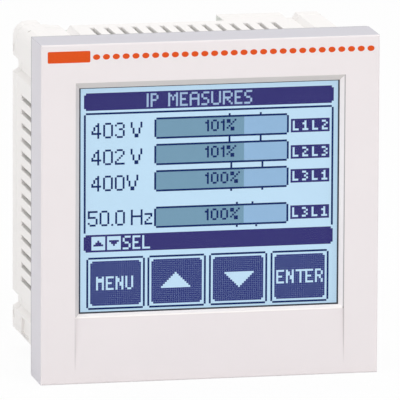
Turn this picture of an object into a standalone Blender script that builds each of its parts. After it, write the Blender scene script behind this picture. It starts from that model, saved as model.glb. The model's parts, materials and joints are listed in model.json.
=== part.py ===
"""Protection relay for a square panel cut-out.

A square front with a touch display sits before the panel. Behind it a vented housing holds the
display, the processor board and the supply board, and takes plug-in screw terminals at the back.
X runs to the right as seen from the front, Y runs from the front face to the back and Z is up.
The origin lies at the foot of the bezel, under the middle of the relay. All sizes are in metres.
Places inside the relay are written as (x, depth, height): depth is counted from the front face
and height from the middle of the face.
"""
import math

import bmesh
import bpy
from mathutils import Matrix, Vector

# Whole relay
BEZEL_SIDE = 0.0960
BODY_DEPTH = 0.0540
FIT = 0.0003
ROUND_STEPS = 16

# Bezel
BEZEL_DEPTH = 0.0145
BEZEL_WALL = 0.0020
FRONT_WALL = 0.0018
FACE_EDGE = 0.0004
WINDOW_SIDE_BORDER = 0.0110
WINDOW_TOP_BORDER = 0.0126
WINDOW_BOTTOM_BORDER = 0.0196
WINDOW_SIDE_SLOPE = 0.0013
WINDOW_TOP_SLOPE = 0.0017
WINDOW_BOTTOM_SLOPE = 0.0010
WINDOW_SLOPE_DEPTH = 0.0015
CHIN_BORDER = 0.0020
CHIN_DEPTH = 0.0006
STAKE_INSET = 0.0034
STAKE_RADIUS = 0.0022
STAKE_PEG_RADIUS = 0.0010
PANEL_SEAL_WIDTH = 0.0016
PANEL_SEAL_THICKNESS = 0.0008

# Display stack behind the window
SCREEN_MARGIN = 0.0030
TOUCH_SEAL_LIP = 0.0003
TOUCH_SEAL_THICKNESS = 0.0004
TOUCH_THICKNESS = 0.0008
LCD_THICKNESS = 0.0018
LIGHT_GUIDE_THICKNESS = 0.0025
LCD_FRAME_WALL = 0.0010
BOARD_THICKNESS = 0.0016

# Housing
PANEL_LAP = 0.0023
HOUSING_WALL = 0.0018
CORNER_CHAMFER = 0.0036
CORNER_RADIUS = 0.0040
CLIP_GROOVE_DEPTH = 0.0016
CLIP_GROOVE_MOUTH = 0.0046
CLIP_GROOVE_FLOOR = 0.0026
SIDE_GROOVE_INSET = 0.0119
TOP_GROOVE_INSET = 0.0121
SHELF_WIDTH = 0.0030
SHELF_DROP = 0.0013
VENT_COUNT = 14
VENT_PITCH = 0.0040
VENT_HEIGHT = 0.0014
VENT_FRONT_MARGIN = 0.0130
SIDE_VENT_BACK_MARGIN = 0.0072
TOP_VENT_BACK_MARGIN = 0.0097
LOBE_POCKET_BACK_MARGIN = 0.0082
LOBE_POCKET_LENGTH = 0.0105
LOBE_POCKET_INSET = 0.0089
LOBE_POCKET_HEIGHT = 0.0048
LOBE_POCKET_DEPTH = 0.0008
DIMPLE_RADIUS = 0.0005
DIMPLE_INSET = 0.0020
DIMPLE_DROP = 0.0014
DIMPLE_BACK_MARGIN = 0.0091
RIB_TO_GROOVE = 0.0059
RIB_WIDTH = 0.0020
RIB_DEPTH = 0.0019

# Rear cover
COVER_RIM = 0.0050
COVER_PLATE = 0.0020
COVER_SCREW_INSET = 0.0050
COVER_SCREW_RADIUS = 0.0013
COVER_SCREW_LENGTH = 0.0100
COVER_HEAD_RADIUS = 0.0025
COVER_HEAD_HEIGHT = 0.0015
COVER_BOSS_RADIUS = 0.0034
COVER_BOSS_LENGTH = 0.0105
SNAP_WINDOW_WIDTH = 0.0016
SNAP_WINDOW_HEIGHT = 0.0020
SNAP_WINDOW_DEPTH = 0.0012
SNAP_WINDOW_INSET = 0.0074
REAR_VENT_COUNT = 17
REAR_VENT_WIDTH = 0.0016
REAR_VENT_TOP = -0.0050
REAR_VENT_LENGTH = 0.0200

# Expansion slots in the rear cover
SLOT_WIDTH = 0.0340
SLOT_HEIGHT = 0.0160
SLOT_SPACING = 0.0390
SLOT_CENTRE_HEIGHT = 0.0130
SLOT_FLANGE = 0.0008
SLOT_LEDGE = 0.0015
SLOT_LEG_WIDTH = 0.0050
SLOT_LEG_THICKNESS = 0.0010
SLOT_LEG_LENGTH = 0.0040

# Terminal wells, sockets and plugs
WELL_LAP = 0.0001
WELL_DEPTH = 0.0102
WELL_FLOOR_DROP = 0.0133
WELL_WALL = 0.0014
PLUG_GAP = 0.0012
PLUG_HEIGHT = 0.0098
PLUG_BACK_SETBACK = 0.0004
PLUG_END_WALL = 0.0004
PLUG_RIB_DEPTH = 0.0006
NOSE_HEIGHT = 0.0066
NOSE_LENGTH = 0.0046
SOCKET_WALL = 0.0008
SOCKET_FLOOR = 0.0012
SOCKET_LENGTH = 0.0042
PIN_SIDE = 0.0010
WIRE_ENTRY_WIDTH = 0.0034
WIRE_ENTRY_HEIGHT = 0.0036
WIRE_ENTRY_DEPTH = 0.0070
WIRE_ENTRY_LOW = 0.0018
TERMINAL_SCREW_SETBACK = 0.0040
TERMINAL_HEAD_RADIUS = 0.0016
TERMINAL_HEAD_HEIGHT = 0.0014
TERMINAL_SHANK_RADIUS = 0.0011
TERMINAL_SCREW_WELL = 0.0030
TERMINAL_SHANK_REACH = 0.0005
SCREW_SLOT_WIDTH = 0.0005
SCREW_SLOT_DEPTH = 0.0007

# Boards and what stands on them
BOARD_CHAMFER = 0.0154
LINK_WIDTH = 0.0300
LINK_THICKNESS = 0.0050
LINK_INSET = 0.0136
DISPLAY_LINK_SIDE_INSET = 0.0086
BOARD_LINK_SIDE_INSET = 0.0066
DISPLAY_LINK_LENGTH = 0.0057
PART_CLEARANCE = 0.0016
RELAY_WIDTH = 0.0128
RELAY_LENGTH = 0.0290
RELAY_INSET = 0.0051
RELAY_PITCH = 0.0160
RELAY_ROW_MIDDLE = 0.0160
CAPACITOR_RADIUS = 0.0050
CAPACITOR_PITCH = 0.0130
CAPACITOR_SIDE_INSET = 0.0096
CAPACITOR_TOP_GAP = 0.0015
PROCESSOR_SIDE = 0.0140
PROCESSOR_THICKNESS = 0.0014
CELL_RADIUS = 0.0062
CELL_THICKNESS = 0.0042
CELL_INSET = 0.0074
FUSE_WIDTH = 0.0060
FUSE_LENGTH = 0.0110
FUSE_HEIGHT = 0.0070
EXPANSION_WIDTH = 0.0200
EXPANSION_THICKNESS = 0.0056
EXPANSION_LENGTH = 0.0060
CORE_WIDTH = 0.0240
CORE_HEIGHT = 0.0200
CORE_LIMB = 0.0040
CORE_LIFT = 0.0020
WINDING_OVERHANG = 0.0025
CAN_GROOVE_SHARE = 0.15
PROCESSOR_PLACE = (0.0050, 0.0020)
CELL_HEIGHT = 0.0080
CAPACITOR_HEIGHT = 0.0140
FUSE_SPACING = 0.0090
FUSE_CENTRE_HEIGHT = 0.0180
TRANSFORMER_PLACE = (-0.0160, -0.0100)

FRONT = -BODY_DEPTH / 2
MIDDLE = BEZEL_SIDE / 2
BEZEL_HALF = BEZEL_SIDE / 2
WINDOW_HALF = BEZEL_HALF - WINDOW_SIDE_BORDER
WINDOW_TOP = BEZEL_HALF - WINDOW_TOP_BORDER
WINDOW_BOTTOM = WINDOW_BOTTOM_BORDER - BEZEL_HALF
CHIN_BOTTOM = CHIN_BORDER - BEZEL_HALF

# Places on the housing, from the middle outwards
HOUSING_HALF = BEZEL_HALF - PANEL_LAP
SIDE_GROOVE_OFFSET = HOUSING_HALF - SIDE_GROOVE_INSET
TOP_GROOVE_OFFSET = HOUSING_HALF - TOP_GROOVE_INSET
LOBE_POCKET_LOW = HOUSING_HALF - LOBE_POCKET_INSET
RIB_HEIGHT = SIDE_GROOVE_OFFSET - RIB_TO_GROOVE
SNAP_WINDOW_OFFSET = HOUSING_HALF - SNAP_WINDOW_INSET
WELL_FLOOR_HEIGHT = HOUSING_HALF - WELL_FLOOR_DROP
WELL_START = CLIP_GROOVE_FLOOR / 2 - TOP_GROOVE_OFFSET - WELL_LAP
BOARD_HALF = HOUSING_HALF - HOUSING_WALL - FIT

# Depths of the display stack, from the front wall inwards
TOUCH_SEAL_FRONT = FRONT_WALL + FIT
TOUCH_FRONT = TOUCH_SEAL_FRONT + TOUCH_SEAL_THICKNESS + FIT
LCD_FRONT = TOUCH_FRONT + TOUCH_THICKNESS + FIT
LIGHT_GUIDE_FRONT = LCD_FRONT + LCD_THICKNESS + FIT
LCD_FRAME_BACK = LIGHT_GUIDE_FRONT + LIGHT_GUIDE_THICKNESS + FIT
DISPLAY_BOARD_FRONT = LCD_FRAME_BACK + FIT
DISPLAY_BOARD_BACK = DISPLAY_BOARD_FRONT + BOARD_THICKNESS
HOUSING_FRONT = DISPLAY_BOARD_BACK + FIT

MAIN_BOARD_FRONT = DISPLAY_BOARD_BACK + DISPLAY_LINK_LENGTH + 2 * FIT
MAIN_BOARD_BACK = MAIN_BOARD_FRONT + BOARD_THICKNESS

# Depths of the housing, the rear cover and the terminals, from the back inwards
COVER_FRONT = BODY_DEPTH - COVER_RIM
HOUSING_BACK = COVER_FRONT - FIT
PLATE_FRONT = BODY_DEPTH - COVER_PLATE
WELL_FRONT = BODY_DEPTH - WELL_DEPTH
PLUG_FRONT = WELL_FRONT + FIT
PLUG_BACK = BODY_DEPTH - PLUG_BACK_SETBACK
PLUG_LOW = WELL_FLOOR_HEIGHT + FIT
PLUG_TOP = PLUG_LOW + PLUG_HEIGHT
PLUG_MIDDLE = (PLUG_LOW + PLUG_TOP) / 2
NOSE_FRONT = PLUG_FRONT - NOSE_LENGTH
SOCKET_BACK = WELL_FRONT - WELL_WALL - FIT
SOCKET_FRONT = SOCKET_BACK - SOCKET_LENGTH
POWER_BOARD_BACK = SOCKET_FRONT - FIT
POWER_BOARD_FRONT = POWER_BOARD_BACK - BOARD_THICKNESS
TALL_PART_FRONT = MAIN_BOARD_BACK + PART_CLEARANCE
SOCKET_HEIGHT = NOSE_HEIGHT + 2 * (FIT + SOCKET_WALL)
SCREW_DEPTH = PLUG_BACK - TERMINAL_SCREW_SETBACK
VENT_FRONT = HOUSING_FRONT + VENT_FRONT_MARGIN
SIDE_VENT_BACK = HOUSING_BACK - SIDE_VENT_BACK_MARGIN
TOP_VENT_BACK = HOUSING_BACK - TOP_VENT_BACK_MARGIN
LOBE_POCKET_BACK = HOUSING_BACK - LOBE_POCKET_BACK_MARGIN

# Plugs in each well: name, number of poles, pitch of the poles
TOP_PLUGS = (("voltage", 4, 0.00762), ("supply", 2, 0.00508))
BOTTOM_PLUGS = (("relay", 6, 0.00508), ("input", 4, 0.00508))


def at(x, depth, height):
    """Turn a place inside the relay into world coordinates."""
    return Vector((x, FRONT + depth, MIDDLE + height))


# Materials

def paint(name, red, green, blue, roughness, metallic=0.0, alpha=1.0):
    """Make a Principled material from a screen colour of 0 to 255."""
    material = bpy.data.materials.new(name)
    material.use_nodes = True
    shader = material.node_tree.nodes["Principled BSDF"]
    linear = [(value / 255) ** 2.2 for value in (red, green, blue)]
    shader.inputs["Base Color"].default_value = (*linear, 1.0)
    shader.inputs["Roughness"].default_value = roughness
    shader.inputs["Metallic"].default_value = metallic
    shader.inputs["Alpha"].default_value = alpha
    return material


# Shapes

def rectangle(left, right, low, high):
    return [(left, low), (right, low), (right, high), (left, high)]


def circle(radius, x=0.0, height=0.0, steps=ROUND_STEPS):
    turn = 2 * math.pi / steps
    return [(x + radius * math.cos(i * turn), height + radius * math.sin(i * turn)) for i in range(steps)]


def add_prism(bm, outline, front, back):
    """Extrude a closed outline of (x, height) points from one depth to another."""
    base = bm.faces.new([bm.verts.new(at(x, front, height)) for x, height in outline])
    grown = bmesh.ops.extrude_face_region(bm, geom=[base])["geom"]
    moved = [item for item in grown if isinstance(item, bmesh.types.BMVert)]
    bmesh.ops.translate(bm, verts=moved, vec=(0, back - front, 0))


def add_block(bm, left, right, front, back, low, high):
    low, high = min(low, high), max(low, high)
    add_prism(bm, rectangle(left, right, low, high), front, back)


def add_loft(bm, near, front, far, back):
    """Join an outline at one depth to a matching outline at another, and close both ends."""
    rings = []
    for outline, depth in ((near, front), (far, back)):
        ring = [bm.verts.new(at(x, depth, height)) for x, height in outline]
        bm.faces.new(ring)
        rings.append([bm.edges.get((ring[i - 1], ring[i])) for i in range(len(ring))])
    bmesh.ops.bridge_loops(bm, edges=rings[0] + rings[1])


def add_upright(bm, x, depth, low, high, radius):
    """Add a round bar that stands along Z."""
    centre = at(x, depth, (low + high) / 2)
    bmesh.ops.create_cone(
        bm, cap_ends=True, segments=ROUND_STEPS, radius1=radius, radius2=radius,
        depth=abs(high - low), matrix=Matrix.Translation(centre))


def node(name, bm, material, origin=None):
    """Turn a bmesh into a named object; origin puts the object's origin at that place."""
    bmesh.ops.recalc_face_normals(bm, faces=bm.faces)
    place = at(*origin) if origin else Vector((0, 0, 0))
    bmesh.ops.translate(bm, verts=bm.verts, vec=-place)
    mesh = bpy.data.meshes.new(name)
    bm.to_mesh(mesh)
    bm.free()
    mesh.materials.append(material)
    piece = bpy.data.objects.new(name, mesh)
    piece.location = place
    bpy.context.scene.collection.objects.link(piece)
    return piece


def combine(piece, operation, name, bm):
    """Join, cut or intersect a piece with the solids of a bmesh, by a Boolean modifier."""
    tool = node(name, bm, piece.data.materials[0])
    tool.hide_render = True
    tool.display_type = "WIRE"
    modifier = piece.modifiers.new(name, "BOOLEAN")
    modifier.operation = operation
    modifier.solver = "EXACT"
    modifier.use_self = True
    modifier.object = tool
    return tool


def smooth(piece, degrees=35):
    """Shade a round piece smooth but keep its sharp edges."""
    piece.data.shade_smooth()
    piece.data.set_sharp_from_angle(angle=math.radians(degrees))


# Housing section

def groove(middle, inset):
    """Points along a side, inwards from its line, of one clip groove; the groove grows with the inset."""
    mouth = CLIP_GROOVE_MOUTH / 2 + inset
    floor = CLIP_GROOVE_FLOOR / 2 + inset
    return [(middle - mouth, 0.0), (middle - floor, CLIP_GROOVE_DEPTH),
            (middle + floor, CLIP_GROOVE_DEPTH), (middle + mouth, 0.0)]


def side_points(offset, inset):
    """One side of the section, walked from -1 to +1, as (place along the side, distance inwards)."""
    return groove(-offset, inset) + groove(offset, inset)


def housing_section(inset=0.0):
    """Outline of the housing, shrunk by an inset: clip grooves on all sides and one rounded corner."""
    half = HOUSING_HALF - inset
    cut = CORNER_CHAMFER - inset * (2 - math.sqrt(2))
    radius = CORNER_RADIUS - inset
    shelf_end = -TOP_GROOVE_OFFSET - CLIP_GROOVE_MOUTH / 2 - inset
    outline = [(-half + cut, -half)]
    outline += [(x, -half + deep) for x, deep in side_points(TOP_GROOVE_OFFSET, inset)]
    outline += [(half - cut, -half), (half, -half + cut)]
    outline += [(half - deep, height) for height, deep in side_points(SIDE_GROOVE_OFFSET, inset)]
    outline += [(half, half - cut), (half - cut, half)]
    top = [(x, half - deep) for x, deep in reversed(side_points(TOP_GROOVE_OFFSET, inset))]
    outline += top[:-1]
    outline += [(shelf_end, half - SHELF_DROP), (shelf_end - SHELF_WIDTH, half - SHELF_DROP),
                (shelf_end - SHELF_WIDTH, half)]
    corner_steps = ROUND_STEPS // 4
    for step in range(corner_steps + 1):
        angle = math.pi / 2 * (1 + step / corner_steps)
        outline.append((-half + radius + radius * math.cos(angle), half - radius + radius * math.sin(angle)))
    outline += [(-half + deep, height) for height, deep in reversed(side_points(SIDE_GROOVE_OFFSET, inset))]
    outline.append((-half, -half + cut))
    return outline


def corners(inset):
    """The four places on the diagonals of the housing, a distance in from its sides."""
    reach = HOUSING_HALF - inset
    return [(sx * reach, sh * reach) for sx in (-1, 1) for sh in (-1, 1)]


# Terminal layout

def plug_places(plugs):
    """Left edge and width of each plug in a well, and the right end of the well."""
    places = []
    left = WELL_START + PLUG_GAP + FIT
    for name, poles, pitch in plugs:
        width = poles * pitch + 2 * PLUG_END_WALL
        places.append((name, poles, pitch, left, width))
        left += width + PLUG_GAP
    return places, left - PLUG_GAP + FIT


def pole_places(left, poles, pitch):
    return [left + PLUG_END_WALL + (index + 0.5) * pitch for index in range(poles)]


# Front

def build_bezel(plastic):
    bm = bmesh.new()
    add_prism(bm, rectangle(-BEZEL_HALF, BEZEL_HALF, -BEZEL_HALF, BEZEL_HALF), 0.0, BEZEL_DEPTH)
    front_edges = [edge for edge in bm.edges if all(vert.co.y < FRONT + FIT for vert in edge.verts)]
    bmesh.ops.bevel(bm, geom=front_edges, offset=FACE_EDGE, segments=2, profile=0.5, affect="EDGES")
    bezel = node("bezel", bm, plastic)

    inner = BEZEL_HALF - BEZEL_WALL
    cavity = bmesh.new()
    add_block(cavity, -inner, inner, FRONT_WALL, BEZEL_DEPTH + FIT, -inner, inner)
    combine(bezel, "DIFFERENCE", "bezel_cavity", cavity)

    window = bmesh.new()
    hole = rectangle(-WINDOW_HALF, WINDOW_HALF, WINDOW_BOTTOM, WINDOW_TOP)
    mouth = rectangle(-WINDOW_HALF - WINDOW_SIDE_SLOPE, WINDOW_HALF + WINDOW_SIDE_SLOPE,
                      WINDOW_BOTTOM - WINDOW_BOTTOM_SLOPE, WINDOW_TOP + WINDOW_TOP_SLOPE)
    ahead = [(x + (x - hx), h + (h - hh)) for (x, h), (hx, hh) in zip(mouth, hole)]
    add_loft(window, ahead, -WINDOW_SLOPE_DEPTH, hole, WINDOW_SLOPE_DEPTH)
    combine(bezel, "DIFFERENCE", "window_slopes", window)
    opening = bmesh.new()
    add_prism(opening, hole, WINDOW_SLOPE_DEPTH - FIT, FRONT_WALL + FIT)
    combine(bezel, "DIFFERENCE", "window_opening", opening)

    chin = bmesh.new()
    chin_top = WINDOW_BOTTOM - WINDOW_BOTTOM_SLOPE / 2
    slope = CHIN_DEPTH / (chin_top - CHIN_BOTTOM)
    side = [(-FIT, CHIN_BOTTOM - FIT / slope), (-FIT, chin_top), (CHIN_DEPTH, chin_top)]
    reach = WINDOW_HALF + WINDOW_SIDE_SLOPE
    face = chin.faces.new([chin.verts.new(at(-reach, depth, height)) for depth, height in side])
    grown = bmesh.ops.extrude_face_region(chin, geom=[face])["geom"]
    moved = [item for item in grown if isinstance(item, bmesh.types.BMVert)]
    bmesh.ops.translate(chin, verts=moved, vec=(2 * reach, 0, 0))
    combine(bezel, "DIFFERENCE", "chin_ramp", chin)

    stakes = bmesh.new()
    for x, height in stake_places():
        add_prism(stakes, circle(STAKE_RADIUS, x, height), FRONT_WALL / 2, DISPLAY_BOARD_FRONT - FIT)
    combine(bezel, "UNION", "stakes", stakes)
    pegs = bmesh.new()
    for x, height in stake_places():
        add_prism(pegs, circle(STAKE_PEG_RADIUS, x, height), FRONT_WALL / 2, DISPLAY_BOARD_BACK)
    combine(bezel, "UNION", "stake_pegs", pegs)
    return bezel


def stake_places():
    """The four stakes inside the bezel that carry the display board."""
    reach = BEZEL_HALF - BEZEL_WALL - STAKE_INSET
    return [(sx * reach, sh * reach) for sx in (-1, 1) for sh in (-1, 1)]


def build_ring(name, outer, width, front, back, material):
    """A flat seal or frame: an outer rectangle (left, right, low, high) with an even width."""
    left, right, low, high = outer
    bm = bmesh.new()
    loops = []
    for shrink in (0.0, width):
        points = rectangle(left + shrink, right - shrink, low + shrink, high - shrink)
        loops.append([bm.verts.new(at(x, front, height)) for x, height in points])
    for i in range(4):
        bm.faces.new((loops[0][i - 1], loops[0][i], loops[1][i], loops[1][i - 1]))
    grown = bmesh.ops.extrude_face_region(bm, geom=list(bm.faces))["geom"]
    moved = [item for item in grown if isinstance(item, bmesh.types.BMVert)]
    bmesh.ops.translate(bm, verts=moved, vec=(0, back - front, 0))
    return node(name, bm, material)


def screen_area(margin):
    """The window's rectangle grown by a margin."""
    return (-WINDOW_HALF - margin, WINDOW_HALF + margin, WINDOW_BOTTOM - margin, WINDOW_TOP + margin)


def build_sheet(name, area, front, thickness, material):
    left, right, low, high = area
    bm = bmesh.new()
    add_block(bm, left, right, front, front + thickness, low, high)
    return node(name, bm, material)


def build_display(finishes):
    seal_half = BEZEL_HALF - (BEZEL_WALL - PANEL_SEAL_WIDTH) / 2
    seal_front = BEZEL_DEPTH + FIT
    build_ring("panel_seal", (-seal_half, seal_half, -seal_half, seal_half), PANEL_SEAL_WIDTH,
               seal_front, seal_front + PANEL_SEAL_THICKNESS, finishes["foam"])
    screen = screen_area(SCREEN_MARGIN)
    build_ring("touch_seal", screen, SCREEN_MARGIN + TOUCH_SEAL_LIP, TOUCH_SEAL_FRONT,
               TOUCH_SEAL_FRONT + TOUCH_SEAL_THICKNESS, finishes["foam"])
    build_sheet("touch_panel", screen, TOUCH_FRONT, TOUCH_THICKNESS, finishes["glass"])
    build_sheet("lcd_panel", screen, LCD_FRONT, LCD_THICKNESS, finishes["lcd"])
    build_sheet("light_guide", screen, LIGHT_GUIDE_FRONT, LIGHT_GUIDE_THICKNESS, finishes["clear"])
    build_ring("lcd_frame", screen_area(SCREEN_MARGIN + FIT + LCD_FRAME_WALL), LCD_FRAME_WALL,
               LCD_FRONT, LCD_FRAME_BACK, finishes["steel"])
    build_display_board(finishes)


def build_display_board(finishes):
    half = BEZEL_HALF - BEZEL_WALL - FIT
    bm = bmesh.new()
    add_prism(bm, rectangle(-half, half, -half, half), DISPLAY_BOARD_FRONT, DISPLAY_BOARD_BACK)
    board = node("display_board", bm, finishes["board"])
    holes = bmesh.new()
    for x, height in stake_places():
        outline = circle(STAKE_PEG_RADIUS + FIT, x, height)
        add_prism(holes, outline, DISPLAY_BOARD_FRONT - FIT, DISPLAY_BOARD_BACK + FIT)
    combine(board, "DIFFERENCE", "peg_holes", holes)


# Housing and rear cover

def add_side_vents(bm):
    """Slots along the depth through the left, right, top and bottom walls."""
    inner = HOUSING_HALF - HOUSING_WALL - FIT
    outer = HOUSING_HALF + FIT
    for index in range(VENT_COUNT):
        middle = (index - (VENT_COUNT - 1) / 2) * VENT_PITCH
        low, high = middle - VENT_HEIGHT / 2, middle + VENT_HEIGHT / 2
        for side in (-1, 1):
            near, far = sorted((side * inner, side * outer))
            add_block(bm, near, far, VENT_FRONT, SIDE_VENT_BACK, low, high)
            add_block(bm, low, high, VENT_FRONT, TOP_VENT_BACK, near, far)


def add_well_notches(bm):
    """The walls above the top well and below the bottom well are open to the back."""
    for side, plugs in ((1, TOP_PLUGS), (-1, BOTTOM_PLUGS)):
        well_end = plug_places(plugs)[1]
        high = side * (HOUSING_HALF + FIT)
        add_block(bm, WELL_START, well_end, WELL_FRONT, BODY_DEPTH, side * WELL_FLOOR_HEIGHT, high)


def build_housing(plastic):
    bm = bmesh.new()
    add_prism(bm, housing_section(), HOUSING_FRONT, HOUSING_BACK)
    housing = node("housing", bm, plastic)

    cavity = bmesh.new()
    add_prism(cavity, housing_section(HOUSING_WALL), HOUSING_FRONT - FIT, HOUSING_BACK + FIT)
    combine(housing, "DIFFERENCE", "housing_cavity", cavity)

    inside = bmesh.new()
    wall = HOUSING_HALF - HOUSING_WALL
    for sx in (-1, 1):
        near, far = sorted((sx * (wall - RIB_DEPTH), sx * (wall + HOUSING_WALL / 2)))
        for sh in (-1, 1):
            middle = sh * RIB_HEIGHT
            add_block(inside, near, far, MAIN_BOARD_BACK + FIT, POWER_BOARD_FRONT - FIT,
                      middle - RIB_WIDTH / 2, middle + RIB_WIDTH / 2)
    combine(housing, "UNION", "board_ribs", inside)

    bosses = bmesh.new()
    for x, height in corners(COVER_SCREW_INSET):
        outline = circle(COVER_BOSS_RADIUS, x, height)
        add_prism(bosses, outline, HOUSING_BACK - COVER_BOSS_LENGTH, HOUSING_BACK)
    combine(housing, "UNION", "cover_bosses", bosses)

    cuts = bmesh.new()
    add_side_vents(cuts)
    add_well_notches(cuts)
    for x, height in corners(COVER_SCREW_INSET):
        outline = circle(COVER_SCREW_RADIUS + FIT, x, height)
        add_prism(cuts, outline, HOUSING_BACK - COVER_SCREW_LENGTH + FIT, HOUSING_BACK + FIT)
    for side in (-1, 1):
        near, far = sorted((side * (HOUSING_HALF - LOBE_POCKET_DEPTH), side * (HOUSING_HALF + FIT)))
        add_block(cuts, near, far, LOBE_POCKET_BACK - LOBE_POCKET_LENGTH, LOBE_POCKET_BACK,
                  -LOBE_POCKET_LOW, -LOBE_POCKET_LOW - LOBE_POCKET_HEIGHT)
    add_upright(cuts, DIMPLE_INSET - HOUSING_HALF, HOUSING_BACK - DIMPLE_BACK_MARGIN,
                HOUSING_HALF - DIMPLE_DROP, HOUSING_HALF + FIT, DIMPLE_RADIUS)
    combine(housing, "DIFFERENCE", "housing_cuts", cuts)
    return housing


def slot_places():
    """Middle of each expansion slot, as (x, height)."""
    return [(side * SLOT_SPACING / 2, SLOT_CENTRE_HEIGHT) for side in (-1, 1)]


def build_rear_cover(plastic):
    bm = bmesh.new()
    add_prism(bm, housing_section(), COVER_FRONT, BODY_DEPTH)
    cover = node("rear_cover", bm, plastic)

    tray = bmesh.new()
    add_prism(tray, housing_section(HOUSING_WALL), COVER_FRONT - FIT, PLATE_FRONT)
    combine(cover, "DIFFERENCE", "cover_tray", tray)

    wells = bmesh.new()
    inner = HOUSING_HALF - HOUSING_WALL - CLIP_GROOVE_DEPTH - FIT
    for side, plugs in ((1, TOP_PLUGS), (-1, BOTTOM_PLUGS)):
        well_end = plug_places(plugs)[1]
        add_block(wells, WELL_START - WELL_WALL, well_end + WELL_WALL, WELL_FRONT - WELL_WALL,
                  PLATE_FRONT + COVER_PLATE / 2, side * (WELL_FLOOR_HEIGHT - WELL_WALL), side * inner)
    combine(cover, "UNION", "well_walls", wells)

    pillars = bmesh.new()
    for x, height in corners(COVER_SCREW_INSET):
        add_prism(pillars, circle(COVER_BOSS_RADIUS, x, height), COVER_FRONT, PLATE_FRONT + COVER_PLATE / 2)
    combine(cover, "UNION", "cover_pillars", pillars)

    cuts = bmesh.new()
    add_well_cuts(cuts)
    for x, height in corners(COVER_SCREW_INSET):
        add_prism(cuts, circle(COVER_SCREW_RADIUS + FIT, x, height), COVER_FRONT - FIT, BODY_DEPTH)
    for x, height in slot_places():
        half_width = SLOT_WIDTH / 2 - SLOT_LEDGE
        half_height = SLOT_HEIGHT / 2 - SLOT_LEDGE
        add_block(cuts, x - half_width, x + half_width, PLATE_FRONT - FIT, BODY_DEPTH,
                  height - half_height, height + half_height)
    for index in range(REAR_VENT_COUNT):
        x = (index - (REAR_VENT_COUNT - 1) / 2) * VENT_PITCH
        add_block(cuts, x - REAR_VENT_WIDTH / 2, x + REAR_VENT_WIDTH / 2, PLATE_FRONT - FIT,
                  BODY_DEPTH + FIT, REAR_VENT_TOP - REAR_VENT_LENGTH, REAR_VENT_TOP)
    for sx in (-1, 1):
        near, far = sorted((sx * (HOUSING_HALF - SNAP_WINDOW_DEPTH), sx * (HOUSING_HALF + FIT)))
        for sh in (-1, 1):
            low = sh * SNAP_WINDOW_OFFSET - SNAP_WINDOW_HEIGHT / 2
            add_block(cuts, near, far, PLATE_FRONT, PLATE_FRONT + SNAP_WINDOW_WIDTH, low,
                      low + SNAP_WINDOW_HEIGHT)
    combine(cover, "DIFFERENCE", "cover_cuts", cuts)

    sinks = bmesh.new()
    for x, height in corners(COVER_SCREW_INSET):
        outline = circle(COVER_HEAD_RADIUS + FIT, x, height)
        add_prism(sinks, outline, BODY_DEPTH - COVER_HEAD_HEIGHT - FIT, BODY_DEPTH + FIT)
    for x, height in slot_places():
        add_block(sinks, x - SLOT_WIDTH / 2, x + SLOT_WIDTH / 2, BODY_DEPTH - SLOT_FLANGE - FIT,
                  BODY_DEPTH + FIT, height - SLOT_HEIGHT / 2, height + SLOT_HEIGHT / 2)
    combine(cover, "DIFFERENCE", "cover_sinks", sinks)
    return cover


def add_well_cuts(bm):
    """The wells themselves and, in their front walls, the openings for the plug noses."""
    for side, plugs in ((1, TOP_PLUGS), (-1, BOTTOM_PLUGS)):
        places, well_end = plug_places(plugs)
        add_block(bm, WELL_START, well_end, WELL_FRONT, BODY_DEPTH + FIT,
                  side * WELL_FLOOR_HEIGHT, side * (HOUSING_HALF + FIT))
        for _, poles, pitch, left, width in places:
            nose_left, nose_right = nose_edges(left, width)
            half = NOSE_HEIGHT / 2 + FIT
            add_block(bm, nose_left - FIT, nose_right + FIT, WELL_FRONT - WELL_WALL - FIT,
                      WELL_FRONT + FIT, side * PLUG_MIDDLE - half, side * PLUG_MIDDLE + half)


def nose_edges(left, width):
    """Left and right edge of the narrower front of a plug."""
    step = SOCKET_WALL
    return left + step, left + width - step


def build_cover_screws(steel):
    """Pan-head screws that hold the rear cover, each sunk in the cover."""
    shared = None
    for number, (x, height) in enumerate(corners(COVER_SCREW_INSET), start=1):
        origin = (x, BODY_DEPTH - COVER_HEAD_HEIGHT, height)
        if shared is None:
            shank = COVER_SCREW_LENGTH - COVER_RIM + COVER_HEAD_HEIGHT + FIT
            shared = screw_mesh("cover_screw", COVER_HEAD_RADIUS, COVER_HEAD_HEIGHT - FIT,
                                COVER_SCREW_RADIUS, shank, steel)
        piece = bpy.data.objects.new(f"cover_screw_{number}", shared)
        piece.location = at(*origin)
        piece.rotation_euler = (-math.pi / 2, 0, 0)
        bpy.context.scene.collection.objects.link(piece)


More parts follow.
